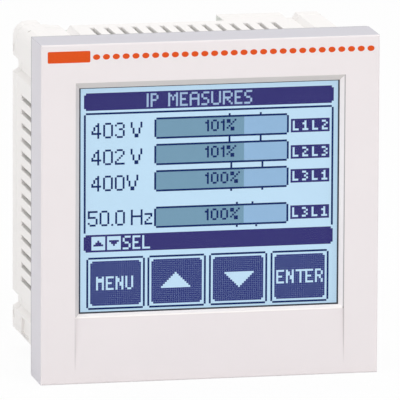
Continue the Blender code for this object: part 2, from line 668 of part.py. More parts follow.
def screw_mesh(name, head_radius, head_height, shank_radius, shank_length, material):
    """Turn a slotted screw about Z: the head stands up from the origin and the shank hangs down."""
    bm = bmesh.new()
    edge = head_height / 4
    profile = [(0, head_height), (head_radius - edge, head_height), (head_radius, head_height - edge),
               (head_radius, 0), (shank_radius, 0), (shank_radius, -shank_length), (0, -shank_length)]
    rim = [bm.verts.new((radius, 0, height)) for radius, height in profile]
    spokes = [bm.edges.new(ends) for ends in zip(rim, rim[1:])]
    bmesh.ops.spin(bm, geom=rim + spokes, cent=(0, 0, 0), axis=(0, 0, 1), angle=2 * math.pi,
                   steps=ROUND_STEPS, use_merge=True)
    bmesh.ops.remove_doubles(bm, verts=bm.verts, dist=0.00001)
    blank = node(name + "_blank", bm, material)
    blank.hide_render = True
    slot = bmesh.new()
    bmesh.ops.create_cube(slot, size=1.0)
    bmesh.ops.scale(slot, verts=slot.verts, vec=(3 * head_radius, SCREW_SLOT_WIDTH, 2 * SCREW_SLOT_DEPTH))
    bmesh.ops.translate(slot, verts=slot.verts, vec=(0, 0, head_height))
    tool = combine(blank, "DIFFERENCE", name + "_slot", slot)
    depsgraph = bpy.context.evaluated_depsgraph_get()
    mesh = bpy.data.meshes.new_from_object(blank.evaluated_get(depsgraph), depsgraph=depsgraph)
    mesh.name = name
    for helper in (blank, tool):
        bpy.data.objects.remove(helper)
    mesh.shade_smooth()
    mesh.set_sharp_from_angle(angle=math.radians(40))
    return mesh


def build_slot_covers(plastic):
    """Blank covers of the two expansion slots; each pulls out to the back."""
    for number, (x, height) in enumerate(slot_places(), start=1):
        bm = bmesh.new()
        half_width, half_height = SLOT_WIDTH / 2 - FIT, SLOT_HEIGHT / 2 - FIT
        flange_front = BODY_DEPTH - SLOT_FLANGE
        add_block(bm, x - half_width, x + half_width, flange_front, BODY_DEPTH,
                  height - half_height, height + half_height)
        cover = node(f"slot_cover_{number}", bm, plastic, origin=(x, BODY_DEPTH, height))
        neck = bmesh.new()
        half_width -= SLOT_LEDGE
        half_height -= SLOT_LEDGE
        add_block(neck, x - half_width, x + half_width, PLATE_FRONT, flange_front + SLOT_FLANGE / 2,
                  height - half_height, height + half_height)
        combine(cover, "UNION", f"slot_neck_{number}", neck)
        legs = bmesh.new()
        for side in (-1, 1):
            near, far = sorted((side * (half_width - SLOT_LEG_THICKNESS), side * half_width))
            add_block(legs, x + near, x + far, PLATE_FRONT - SLOT_LEG_LENGTH, PLATE_FRONT + SLOT_FLANGE,
                      height - SLOT_LEG_WIDTH / 2, height + SLOT_LEG_WIDTH / 2)
        combine(cover, "UNION", f"slot_legs_{number}", legs)


# Terminals

def build_terminals(finishes):
    screw = screw_mesh("terminal_screw", TERMINAL_HEAD_RADIUS, TERMINAL_HEAD_HEIGHT,
                       TERMINAL_SHANK_RADIUS, terminal_shank(), finishes["screw"])
    for side, plugs in ((1, TOP_PLUGS), (-1, BOTTOM_PLUGS)):
        for name, poles, pitch, left, width in plug_places(plugs)[0]:
            build_socket(name, side, poles, pitch, left, width, finishes["socket"])
            build_plug(name, side, poles, pitch, left, width, finishes["plug"])
            for number, x in enumerate(pole_places(left, poles, pitch), start=1):
                piece = bpy.data.objects.new(f"{name}_screw_{number}", screw)
                piece.location = at(x, SCREW_DEPTH, side * screw_seat())
                piece.rotation_euler = (0 if side > 0 else math.pi, 0, 0)
                bpy.context.scene.collection.objects.link(piece)


def screw_seat():
    """Height of the underside of a terminal screw's head."""
    return PLUG_TOP - TERMINAL_SCREW_WELL + FIT


def terminal_shank():
    """The shank reaches from the seat down into the wire entry."""
    entry_top = PLUG_LOW + WIRE_ENTRY_LOW + WIRE_ENTRY_HEIGHT
    return screw_seat() - entry_top + TERMINAL_SHANK_REACH


def build_plug(name, side, poles, pitch, left, width, plastic):
    """A plug with a narrower nose, and for each pole a wire entry, a screw well and a contact hole."""
    bm = bmesh.new()
    add_block(bm, left, left + width, PLUG_FRONT, PLUG_BACK, side * PLUG_LOW, side * PLUG_TOP)
    plug = node(f"{name}_plug", bm, plastic, origin=(left + width / 2, PLUG_BACK, side * PLUG_MIDDLE))

    nose_left, nose_right = nose_edges(left, width)
    nose_half = NOSE_HEIGHT / 2
    nose = bmesh.new()
    add_block(nose, nose_left, nose_right, NOSE_FRONT, PLUG_FRONT + FIT,
              side * PLUG_MIDDLE - nose_half, side * PLUG_MIDDLE + nose_half)
    combine(plug, "UNION", f"{name}_nose", nose)

    wide = bmesh.new()
    narrow = bmesh.new()
    entry_low = PLUG_LOW + WIRE_ENTRY_LOW
    entry_high = entry_low + WIRE_ENTRY_HEIGHT
    contact_half = PIN_SIDE / 2 + FIT
    for x in pole_places(left, poles, pitch):
        add_block(wide, x - WIRE_ENTRY_WIDTH / 2, x + WIRE_ENTRY_WIDTH / 2, PLUG_BACK - WIRE_ENTRY_DEPTH,
                  PLUG_BACK + FIT, side * entry_low, side * entry_high)
        add_upright(wide, x, SCREW_DEPTH, side * (PLUG_TOP - TERMINAL_SCREW_WELL),
                    side * (PLUG_TOP + FIT), TERMINAL_HEAD_RADIUS + FIT)
        add_block(wide, x - contact_half, x + contact_half, NOSE_FRONT - FIT, pin_back() + FIT,
                  side * PLUG_MIDDLE - contact_half, side * PLUG_MIDDLE + contact_half)
        add_upright(narrow, x, SCREW_DEPTH, side * (entry_high - FIT),
                    side * (PLUG_TOP - TERMINAL_SCREW_WELL + FIT), TERMINAL_SHANK_RADIUS + FIT)
    for index in range(1, poles):
        x = left + PLUG_END_WALL + index * pitch
        add_block(narrow, x - PLUG_RIB_DEPTH / 2, x + PLUG_RIB_DEPTH / 2, PLUG_BACK - PLUG_RIB_DEPTH,
                  PLUG_BACK + FIT, side * (PLUG_LOW - FIT), side * (PLUG_TOP + FIT))
    combine(plug, "DIFFERENCE", f"{name}_wells", wide)
    combine(plug, "DIFFERENCE", f"{name}_bores", narrow)
    return plug


def pin_back():
    """Depth at which the contact pins end, inside the plug's nose."""
    return SOCKET_BACK + SOCKET_WALL


def build_socket(name, side, poles, pitch, left, width, plastic):
    """A socket on the supply board with one contact pin for each pole of its plug."""
    nose_left, nose_right = nose_edges(left, width)
    half = SOCKET_HEIGHT / 2
    bm = bmesh.new()
    add_block(bm, nose_left - FIT - SOCKET_WALL, nose_right + FIT + SOCKET_WALL, SOCKET_FRONT,
              SOCKET_BACK, side * PLUG_MIDDLE - half, side * PLUG_MIDDLE + half)
    socket = node(f"{name}_socket", bm, plastic)
    hollow = bmesh.new()
    inner = half - SOCKET_WALL
    add_block(hollow, nose_left - FIT, nose_right + FIT, SOCKET_FRONT + SOCKET_FLOOR,
              SOCKET_BACK + FIT, side * PLUG_MIDDLE - inner, side * PLUG_MIDDLE + inner)
    combine(socket, "DIFFERENCE", f"{name}_hollow", hollow)
    pins = bmesh.new()
    for x in pole_places(left, poles, pitch):
        add_block(pins, x - PIN_SIDE / 2, x + PIN_SIDE / 2, SOCKET_FRONT + SOCKET_FLOOR / 2, pin_back(),
                  side * PLUG_MIDDLE - PIN_SIDE / 2, side * PLUG_MIDDLE + PIN_SIDE / 2)
    combine(socket, "UNION", f"{name}_pins", pins)
    return socket


# Boards

def board_outline():
    """A square board with wide corner cuts that clear the cover bosses and the clip grooves."""
    cut = BOARD_HALF - BOARD_CHAMFER
    return [(-cut, -BOARD_HALF), (cut, -BOARD_HALF), (BOARD_HALF, -cut), (BOARD_HALF, cut),
            (cut, BOARD_HALF), (-cut, BOARD_HALF), (-BOARD_HALF, cut), (-BOARD_HALF, -cut)]


def build_part(name, centre, size, front, back, material, edge=0.0003):
    """A moulded component: a block with softened edges, standing on a board."""
    (x, height), (width, tall) = centre, size
    bm = bmesh.new()
    add_block(bm, x - width / 2, x + width / 2, front, back, height - tall / 2, height + tall / 2)
    bmesh.ops.bevel(bm, geom=list(bm.edges), offset=edge, segments=1, affect="EDGES")
    return node(name, bm, material)


def build_can(name, centre, radius, front, back, material, rim=0.0004):
    """A round component with a rolled groove near its free end."""
    bm = bmesh.new()
    groove_front = front + CAN_GROOVE_SHARE * (back - front)
    stations = [(front, radius - rim), (front + rim, radius), (groove_front, radius),
                (groove_front + rim, radius - rim), (groove_front + 3 * rim, radius - rim),
                (groove_front + 4 * rim, radius), (back, radius)]
    rings = []
    for depth, ring_radius in stations:
        points = circle(ring_radius, *centre)
        rings.append([bm.verts.new(at(x, depth, height)) for x, height in points])
    bm.faces.new(rings[0])
    bm.faces.new(rings[-1])
    for near, far in zip(rings, rings[1:]):
        for i in range(ROUND_STEPS):
            bm.faces.new((near[i - 1], near[i], far[i], far[i - 1]))
    piece = node(name, bm, material)
    smooth(piece)
    return piece


def build_transformer(finishes):
    """A laminated core with two windows, and the winding round its middle limb."""
    x, height = TRANSFORMER_PLACE
    half_width, half_height = CORE_WIDTH / 2, CORE_HEIGHT / 2
    core_back = POWER_BOARD_FRONT - FIT - CORE_LIFT
    core_front = TALL_PART_FRONT + WINDING_OVERHANG
    bm = bmesh.new()
    add_block(bm, x - half_width, x + half_width, core_front, core_back,
              height - half_height, height + half_height)
    core = node("transformer_core", bm, finishes["steel"])
    windows = bmesh.new()
    window_high = half_height - CORE_LIMB / 2
    for side in (-1, 1):
        near, far = sorted((side * CORE_LIMB, side * (half_width - CORE_LIMB / 2)))
        add_block(windows, x + near, x + far, core_front - FIT, core_back + FIT,
                  height - window_high, height + window_high)
    combine(core, "DIFFERENCE", "core_windows", windows)

    coil_half = half_width - CORE_LIMB / 2 - FIT
    bm = bmesh.new()
    add_block(bm, x - coil_half, x + coil_half, TALL_PART_FRONT, POWER_BOARD_FRONT - FIT,
              height - window_high + FIT, height + window_high - FIT)
    winding = node("transformer_winding", bm, finishes["winding"])
    limb_hole = bmesh.new()
    add_block(limb_hole, x - CORE_LIMB - FIT, x + CORE_LIMB + FIT, core_front - FIT, core_back + FIT,
              height - half_height, height + half_height)
    combine(winding, "DIFFERENCE", "limb_hole", limb_hole)


def pair(middle, pitch):
    """Two places, one on each side of a middle."""
    return (middle - pitch / 2, middle + pitch / 2)


def build_boards(finishes):
    for name, front in (("main_board", MAIN_BOARD_FRONT), ("power_board", POWER_BOARD_FRONT)):
        bm = bmesh.new()
        add_prism(bm, board_outline(), front, front + BOARD_THICKNESS)
        node(name, bm, finishes["board"])
    link_height = BOARD_HALF - LINK_INSET
    link = (LINK_WIDTH, LINK_THICKNESS)
    display_link_x = DISPLAY_LINK_SIDE_INSET + LINK_WIDTH / 2 - BOARD_HALF
    build_part("display_link", (display_link_x, link_height), link, DISPLAY_BOARD_BACK + FIT,
               MAIN_BOARD_FRONT - FIT, finishes["black"])
    board_link_x = BOARD_HALF - BOARD_LINK_SIDE_INSET - LINK_WIDTH / 2
    build_part("board_link", (board_link_x, link_height), link, MAIN_BOARD_BACK + FIT,
               POWER_BOARD_FRONT - FIT, finishes["black"])
    build_main_board_parts(finishes)
    build_power_board_parts(finishes)
    build_transformer(finishes)


def build_main_board_parts(finishes):
    """The processor in front of the main board and the cell behind it."""
    front = MAIN_BOARD_FRONT - FIT
    build_part("processor", PROCESSOR_PLACE, (PROCESSOR_SIDE, PROCESSOR_SIDE),
               front - PROCESSOR_THICKNESS, front, finishes["black"])
    back = MAIN_BOARD_BACK + FIT
    cell_x = BOARD_HALF - CELL_INSET - CELL_RADIUS
    build_can("backup_cell", (cell_x, CELL_HEIGHT), CELL_RADIUS, back, back + CELL_THICKNESS,
              finishes["steel"])


def build_power_board_parts(finishes):
    """Relays, capacitors and fuse before the power board, and the expansion connectors behind it."""
    seat = POWER_BOARD_FRONT - FIT
    relay_height = RELAY_INSET + RELAY_LENGTH / 2 - BOARD_HALF
    for number, x in enumerate(pair(RELAY_ROW_MIDDLE, RELAY_PITCH), start=1):
        build_part(f"output_relay_{number}", (x, relay_height), (RELAY_WIDTH, RELAY_LENGTH),
                   TALL_PART_FRONT, seat, finishes["relay"], edge=0.0005)
    row_middle = CAPACITOR_SIDE_INSET + CAPACITOR_RADIUS + CAPACITOR_PITCH / 2 - BOARD_HALF
    for number, x in enumerate(pair(row_middle, CAPACITOR_PITCH), start=1):
        build_can(f"supply_capacitor_{number}", (x, CAPACITOR_HEIGHT), CAPACITOR_RADIUS,
                  TALL_PART_FRONT + CAPACITOR_TOP_GAP, seat, finishes["black"])
    fuse_x = row_middle + CAPACITOR_PITCH / 2 + CAPACITOR_RADIUS + FUSE_SPACING
    build_part("fuse", (fuse_x, FUSE_CENTRE_HEIGHT), (FUSE_WIDTH, FUSE_LENGTH), seat - FUSE_HEIGHT,
               seat, finishes["clear"], edge=0.0008)
    back = POWER_BOARD_BACK + FIT
    for number, place in enumerate(slot_places(), start=1):
        build_part(f"expansion_connector_{number}", place, (EXPANSION_WIDTH, EXPANSION_THICKNESS),
                   back, back + EXPANSION_LENGTH, finishes["black"])


def clear_scene():
    for piece in list(bpy.data.objects):
        bpy.data.objects.remove(piece)


def main():
    clear_scene()
    finishes = {
        "foam": paint("seal_foam", 150, 150, 152, 0.9),
        "glass": paint("touch_glass", 225, 235, 240, 0.08, alpha=0.25),
        "lcd": paint("lcd_picture", 190, 222, 245, 0.25),
        "clear": paint("clear_plastic", 235, 238, 240, 0.15),
        "steel": paint("plated_steel", 170, 172, 176, 0.35, 1.0),
        "screw": paint("screw_steel", 186, 186, 184, 0.3, 1.0),
        "board": paint("board_laminate", 34, 92, 58, 0.5),
        "black": paint("black_plastic", 30, 30, 32, 0.5),
        "relay": paint("relay_case", 40, 70, 150, 0.45),
        "winding": paint("winding_tape", 214, 178, 70, 0.5),
        "socket": paint("socket_plastic", 58, 118, 70, 0.5),
        "plug": paint("plug_plastic", 70, 140, 84, 0.5),
    }
    shell = paint("shell_plastic", 240, 238, 235, 0.55)
    build_bezel(paint("bezel_plastic", 235, 229, 228, 0.5))
    build_display(finishes)
    build_housing(shell)
    build_rear_cover(shell)
    build_cover_screws(finishes["steel"])
    build_slot_covers(shell)
    build_boards(finishes)
    build_terminals(finishes)


main()
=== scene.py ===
"""Looks of the panel protection relay.

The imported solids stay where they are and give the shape. Added here are soft moulded edges, the
picture on the display, the printed marks on the face, the slots and threads of the screws, the
clamps of the terminals, every finish, and the studio. X runs to the right as seen from the
front, Y from the face to the back, Z up, in metres. Lengths given as numbers are millimetres
unless a comment says otherwise.
"""
import json
import math

import bmesh
import bpy
from mathutils import Matrix, Vector

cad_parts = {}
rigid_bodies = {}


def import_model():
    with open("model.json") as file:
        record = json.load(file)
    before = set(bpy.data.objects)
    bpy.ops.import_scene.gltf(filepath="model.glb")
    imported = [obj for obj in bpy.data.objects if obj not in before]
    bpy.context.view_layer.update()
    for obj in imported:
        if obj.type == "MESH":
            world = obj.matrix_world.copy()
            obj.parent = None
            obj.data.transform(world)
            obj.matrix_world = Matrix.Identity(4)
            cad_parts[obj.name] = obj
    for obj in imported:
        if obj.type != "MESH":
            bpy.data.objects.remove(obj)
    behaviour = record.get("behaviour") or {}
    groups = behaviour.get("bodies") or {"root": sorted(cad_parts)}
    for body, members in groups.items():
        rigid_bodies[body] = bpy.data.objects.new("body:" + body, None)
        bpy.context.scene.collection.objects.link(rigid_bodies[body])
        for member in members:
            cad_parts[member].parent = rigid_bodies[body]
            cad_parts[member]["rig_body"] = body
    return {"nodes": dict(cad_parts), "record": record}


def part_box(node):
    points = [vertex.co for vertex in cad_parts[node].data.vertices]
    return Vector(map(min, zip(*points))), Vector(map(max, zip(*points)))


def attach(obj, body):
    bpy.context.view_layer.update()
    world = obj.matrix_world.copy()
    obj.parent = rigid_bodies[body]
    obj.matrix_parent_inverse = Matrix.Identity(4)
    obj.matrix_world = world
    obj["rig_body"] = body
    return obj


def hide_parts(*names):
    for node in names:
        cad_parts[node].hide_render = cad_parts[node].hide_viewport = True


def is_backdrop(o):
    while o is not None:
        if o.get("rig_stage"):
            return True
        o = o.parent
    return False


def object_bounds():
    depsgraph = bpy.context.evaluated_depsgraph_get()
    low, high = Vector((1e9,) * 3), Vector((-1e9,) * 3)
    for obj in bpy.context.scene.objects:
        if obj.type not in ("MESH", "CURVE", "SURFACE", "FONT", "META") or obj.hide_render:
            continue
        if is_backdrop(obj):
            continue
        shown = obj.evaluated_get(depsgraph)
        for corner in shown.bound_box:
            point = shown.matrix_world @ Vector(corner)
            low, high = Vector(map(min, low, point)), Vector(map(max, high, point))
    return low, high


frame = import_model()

MM = 0.001
NODES = frame["nodes"]
LOW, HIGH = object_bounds()
FACE_Y = LOW.y
MIDDLE_Z = (LOW.z + HIGH.z) / 2


def inside(x, depth, height):
    """A place given in millimetres: from the middle line, behind the face, above the middle."""
    return Vector((x * MM, FACE_Y + depth * MM, MIDDLE_Z + height * MM))


# Finishes

def linear(red, green, blue):
    """A screen colour of 0 to 255 as the linear colour that renders to it."""
    def curve(value):
        share = value / 255
        return share / 12.92 if share <= 0.04045 else ((share + 0.055) / 1.055) ** 2.4
    return (curve(red), curve(green), curve(blue), 1.0)


def shade(colour, factor):
    """A colour made lighter or darker."""
    return (*[min(1.0, channel * factor) for channel in colour[:3]], 1.0)


class Value:
    """The output of a node; arithmetic on it adds Math nodes to the same finish."""

    def __init__(self, finish, socket):
        self.finish = finish
        self.socket = socket

    def math(self, operation, *values):
        return self.finish.add("ShaderNodeMath", {"operation": operation}, dict(enumerate(values)))

    def __add__(self, other):
        return self.math("ADD", self, other)

    __radd__ = __add__

    def __sub__(self, other):
        return self.math("SUBTRACT", self, other)

    def __rsub__(self, other):
        return self.math("SUBTRACT", other, self)

    def __mul__(self, other):
        return self.math("MULTIPLY", self, other)

    def __truediv__(self, other):
        return self.math("DIVIDE", self, other)

    def __gt__(self, other):
        return self.math("GREATER_THAN", self, other)

    def __lt__(self, other):
        return self.math("LESS_THAN", self, other)

    def power(self, exponent):
        return self.math("POWER", self, exponent)

    def size(self):
        return self.math("ABSOLUTE", self)

    def larger(self, other):
        return self.math("MAXIMUM", self, other)

    def steps(self, pitch):
        """Distance to the nearest of a row of lines, as 0 on a line to 1 midway between two."""
        return self.math("PINGPONG", self, pitch / 2) / (pitch / 2)

    def band(self, low, high):
        """Rises from 0 to 1 as the value goes from low to high."""
        settings = {"interpolation_type": "SMOOTHSTEP"}
        return self.finish.add("ShaderNodeMapRange", settings, {0: self, 1: low, 2: high})


class Finish:
    """A material with one Principled shader, and the nodes that drive it."""

    def __init__(self, name, colour, roughness, metallic=0.0, **constants):
        self.material = bpy.data.materials.new(name)
        self.material.use_nodes = True
        self.tree = self.material.node_tree
        self.shader = self.tree.nodes["Principled BSDF"]
        self.set(**{"Base Color": colour, "Roughness": roughness, "Metallic": metallic})
        self.set(**{key.replace("_", " "): value for key, value in constants.items()})
        self.places = None

    def set(self, **sockets):
        """Give the shader's sockets their values or links."""
        for name, value in sockets.items():
            self.join(self.shader.inputs[name], value)

    def join(self, socket, value):
        if isinstance(value, Value):
            self.tree.links.new(value.socket, socket)
        else:
            socket.default_value = value

    def add(self, kind, settings, sockets, output=0):
        """Add a node: its settings first, then the values or links of its sockets."""
        node = self.tree.nodes.new(kind)
        for name, value in settings.items():
            setattr(node, name, value)
        for name, value in sockets.items():
            self.join(node.inputs[name], value)
        return Value(self, node.outputs[output])

    def place(self):
        """Object coordinates, which are metres in the relay's frame."""
        if self.places is None:
            self.places = self.add("ShaderNodeTexCoord", {}, {}, "Object")
        return self.places

    def along(self, axis):
        return self.add("ShaderNodeSeparateXYZ", {}, {0: self.place()}, "XYZ".index(axis))

    def noise(self, grain, detail=2.0, stretch=(1.0, 1.0, 1.0)):
        """Even noise whose spots are about one grain wide, in metres."""
        spot = self.add("ShaderNodeVectorMath", {"operation": "MULTIPLY"},
                        {0: self.place(), 1: stretch})
        return self.add("ShaderNodeTexNoise", {},
                        {"Vector": spot, "Scale": 1 / grain, "Detail": detail})

    def cells(self, size, output=0, **settings):
        """Voronoi cells about one size wide, in metres."""
        return self.add("ShaderNodeTexVoronoi", settings,
                        {"Vector": self.place(), "Scale": 1 / size}, output)

    def paint(self, factor, first, second):
        """Give the base colour a mix of two colours."""
        self.set(**{"Base Color": self.mix(factor, first, second)})

    def mix(self, factor, first, second):
        """Mix two colours."""
        settings = {"data_type": "RGBA"}
        return self.add("ShaderNodeMix", settings, {0: factor, 6: first, 7: second}, 2)

    def bump(self, height, distance):
        self.set(Normal=self.add("ShaderNodeBump", {}, {"Height": height, "Distance": distance}))


FLOW_MARK = 18
SHEEN_SPREAD = 0.16


def moulded(name, colour, roughness, grain=0.35, depth=0.012, mottle=0.02):
    """Moulded plastic: a spark-eroded grain, faint flow marks and a slightly uneven sheen."""
    finish = Finish(name, colour, roughness)
    fine = finish.noise(grain * MM)
    flow = finish.noise(FLOW_MARK * MM, 3.0)
    finish.paint(flow, shade(colour, 1 - mottle), shade(colour, 1 + mottle))
    finish.set(Roughness=roughness + (fine - 0.5) * SHEEN_SPREAD)
    finish.bump(fine, depth * MM)
    return finish


INK_GRAIN, INK_RELIEF = 0.30, 0.006


def printed(name, colour):
    """Pad-printed ink: a thin, slightly glossier film over the moulded grain."""
    finish = Finish(name, colour, 0.42, Specular_IOR_Level=0.2)
    fine = finish.noise(INK_GRAIN * MM)
    finish.paint(fine.band(0.35, 0.75), shade(colour, 0.96), shade(colour, 1.04))
    finish.set(Roughness=0.40 + fine * 0.08)
    finish.bump(fine, INK_RELIEF * MM)
    return finish


SHELL_WHITE = linear(243, 240, 238)
FACE_WHITE = linear(236, 229, 230)
# The bezel's sides and top: painted shade, darker and cooler than the face, the top darkest
SHADED_SIDE_WHITE = linear(216, 213, 219)
SHADED_TOP_WHITE = linear(200, 198, 205)

# The window's slopes, from the edge of its hole to the face, from the middle of the face
SLOPES = {"left": (-37.0, -38.3), "right": (37.0, 38.3),
          "bottom": (-28.4, -29.4), "top": (35.4, 37.1)}
# Painted light and shade on the slopes: the left and top darker than the face, the right and bottom
# lighter
SLOPE_LIGHT_AND_SHADE = {"left": linear(214, 209, 209), "right": linear(250, 245, 245),
               "bottom": linear(255, 250, 248), "top": linear(220, 215, 212)}
SLOPE_DEPTH = 1.95
# A thin line of painted shade where the right slope meets the face: its start as a share of the
# slope
BRINK_START, BRINK_STRENGTH, BRINK_SHADE_TONE = 0.80, 0.8, linear(158, 153, 154)
# A faint line of painted shade along each side of the chin, which fades in between two heights
CHIN_SIDE, CREASE_HALF, CREASE_FADE = 38.3, 0.13, (-46.0, -37.0)
CREASE_STRENGTH, CREASE_SHADE_TONE = 0.40, linear(178, 174, 175)
# Where the side's colour, a painted shade, starts: depths behind the face, and distances inside the
# outer edge
SIDE_DEPTH, SIDE_INSET = (0.25, 0.50), (0.30, 0.10)


def bezel_plastic(name):
    """The front's plastic with painted light and shade: darker, cooler sides, a darker top, a tone
    on each slope of the window, and dark lines on the right slope and the chin's sides.
    """
    finish = moulded(name, FACE_WHITE, 0.52, depth=0.016)
    across = finish.along("X")
    up = finish.along("Z") - MIDDLE_Z
    depth = finish.along("Y") - FACE_Y
    colour = Value(finish, finish.shader.inputs["Base Color"].links[0].from_socket)
    shallow = depth < SLOPE_DEPTH * MM

    climbs = {}
    for side, (hole, mouth) in SLOPES.items():
        place = across if side in ("left", "right") else up
        climbs[side] = (place - hole * MM) * (1 / ((mouth - hole) * MM))
    # Paint each slope its own tone of light and shade, split at the mitres
    for side, climb in climbs.items():
        one, other = ("top", "bottom") if side in ("left", "right") else ("left", "right")
        ahead = climb > climbs[one].larger(climbs[other])
        slope = (climb > 0.0) * (climb < 1.0) * ahead * shallow
        colour = finish.mix(slope, colour, SLOPE_LIGHT_AND_SHADE[side])
    # A line of painted shade near the right slope's outer edge
    brink_shade = (climbs["right"] > BRINK_START) * (climbs["right"] < 1.0)
    brink_shade = brink_shade * (climbs["top"] < 1.0) * (climbs["bottom"] < 1.0)
    colour = finish.mix(brink_shade * shallow * BRINK_STRENGTH, colour, BRINK_SHADE_TONE)

    # A faint painted shade line at the step along each side of the chin
    crease_shade = (across.size() - CHIN_SIDE * MM).size() < CREASE_HALF * MM
    crease_shade = crease_shade * (up < SLOPES["bottom"][1] * MM) * up.band(*[z * MM for z in CREASE_FADE])
    colour = finish.mix(crease_shade * shallow * CREASE_STRENGTH, colour, CREASE_SHADE_TONE)

    # The sides painted darker and cooler than the face, and the top darker still, as painted shade
    behind = depth.band(*[y * MM for y in SIDE_DEPTH])
    edge = [HIGH.x - inset * MM for inset in SIDE_INSET]
    side = across.size().larger(up.size()).band(*edge)
    finish.paint(side * behind, colour, finish.mix(up.band(*edge), SHADED_SIDE_WHITE, SHADED_TOP_WHITE))
    return finish


FOAM_CELL, FOAM_RELIEF = 0.45, 0.08


def foam(name, colour):
    """Closed-cell foam: small round cells whose mouths are painted darker, as the shade inside
    them.
    """
    finish = Finish(name, colour, 0.9)
    # The cells' mouths are painted dark as their shade
    mouth = finish.cells(FOAM_CELL * MM).band(0.10, 0.45)
    finish.paint(mouth, shade(colour, 0.62), shade(colour, 1.08))
    finish.bump(mouth, FOAM_RELIEF * MM)
    return finish


HAZE_SPOT = 9


def touch_glass(name):
    """The clear touch layer: almost unseen, with a faint haze where fingers have been."""
    finish = Finish(name, linear(110, 130, 150), 0.12, IOR=1.45)
    haze = finish.noise(HAZE_SPOT * MM, 3.0)
    finish.set(Roughness=0.10 + haze * 0.10, Alpha=0.01 + haze * 0.02)
    return finish


LIGHT_BLUE = linear(197, 228, 250)
DARK_BLUE = linear(55, 51, 116)
LINE_BLUE = linear(18, 40, 98)
TITLE_BLUE = linear(164, 190, 222)
FULL_BLUE = linear(119, 157, 181)
EMPTY_BLUE = linear(149, 186, 221)
KEY_BLUE = linear(47, 53, 122)

# Share of the display's colour that is lit from behind, and how it falls off
BACKLIGHT = 0.8
LAMP_SPOT, DISPLAY_REACH, SCREEN_GRAIN = 30, 40, 0.12


def lit(name, colour):
    """A part of the display's picture: its own colour, partly lit from behind."""
    finish = Finish(name, shade(colour, 1 - BACKLIGHT), 0.45, Emission_Strength=BACKLIGHT,
                    Specular_IOR_Level=0.05)
    lamp = finish.noise(LAMP_SPOT * MM, 1.0)
    edge = (finish.along("X") * (1 / (DISPLAY_REACH * MM))).size().power(3.0)
    dimmed = finish.mix(edge * 0.15 + lamp * 0.4 - 0.1, colour, shade(colour, 0.94))
    grain = finish.noise(SCREEN_GRAIN * MM, 1.0)
    finish.set(**{"Emission Color": dimmed, "Roughness": 0.40 + grain * 0.10})
    return finish


LIGHT_DOT_PITCH = 1.2


def clear_plastic(name, colour):
    """Clear acrylic that carries the light, with the faint dots on its back that let it out."""
    finish = Finish(name, colour, 0.12, IOR=1.49)
    row = finish.along("X").steps(LIGHT_DOT_PITCH * MM)
    column = finish.along("Z").steps(LIGHT_DOT_PITCH * MM)
    dot = (row * column).band(0.55, 0.75)
    finish.paint(dot, colour, linear(255, 255, 255))
    finish.set(Roughness=0.10 + dot * 0.30, Alpha=0.62 + dot * 0.25)
    return finish


CRYSTAL, DRAWN_LINE, STEEL_RELIEF = 0.9, 0.25, 0.008


def plated_steel(name, colour, roughness=0.32):
    """Zinc-plated steel with a fine crystal sheen and drawn lines."""
    finish = Finish(name, colour, roughness, 1.0)
    crystal = finish.add("ShaderNodeSeparateColor", {}, {0: finish.cells(CRYSTAL * MM, "Color")})
    drawn = finish.noise(DRAWN_LINE * MM, 3.0, stretch=(1.0, 0.12, 1.0))
    tone = crystal * 0.6 + drawn * 0.4
    finish.paint(tone, shade(colour, 0.86), shade(colour, 1.10))
    finish.set(Roughness=roughness - 0.08 + tone * 0.2)
    finish.bump(drawn, STEEL_RELIEF * MM)
    return finish


TRACK_PITCH, PAD_PITCH, WEAVE_PITCH = 1.27, 2.54, 0.5
TRACK_FIELD, BOARD_RELIEF = 7, 0.03


def board_laminate(name, mask, track):
    """Glass laminate under green mask: raised copper tracks, rows of bare pads, a woven ground."""
    finish = Finish(name, mask, 0.35)
    across, up = finish.along("X"), finish.along("Z")
    field = finish.cells(TRACK_FIELD * MM, "Color", distance="CHEBYCHEV")
    way = finish.add("ShaderNodeSeparateColor", {}, {0: field}) > 0.5
    level, upright = up.steps(TRACK_PITCH * MM), across.steps(TRACK_PITCH * MM)
    rows = (level * way + upright * (1 - way)).band(0.50, 0.62)
    weave = across.steps(WEAVE_PITCH * MM) * up.steps(WEAVE_PITCH * MM)
    ground = finish.mix(weave, shade(mask, 0.90), shade(mask, 1.08))
    pad = (across.steps(PAD_PITCH * MM) * up.steps(PAD_PITCH * MM)).band(0.80, 0.86)
    finish.paint(pad, finish.mix(rows, ground, track), linear(200, 200, 196))
    finish.set(Roughness=0.32 + weave * 0.08, Metallic=pad * 0.9)
    finish.bump(rows + pad, BOARD_RELIEF * MM)
    return finish


TAPE_WIDTH, TAPE_RIPPLE, TAPE_RELIEF = 3.4, 1.2, 0.05


def tape_winding(name, colour):
    """Polyester tape in overlapping turns round a coil."""
    finish = Finish(name, colour, 0.32)
    ripple = finish.noise(TAPE_RIPPLE * MM, 2.0)
    lap = finish.along("Z").steps(TAPE_WIDTH * MM).band(0.0, 0.18)
    finish.paint(lap, shade(colour, 0.70), shade(colour, 1.04))
    finish.set(Roughness=0.26 + ripple * 0.16)
    finish.bump(lap + ripple * 0.5, TAPE_RELIEF * MM)
    return finish


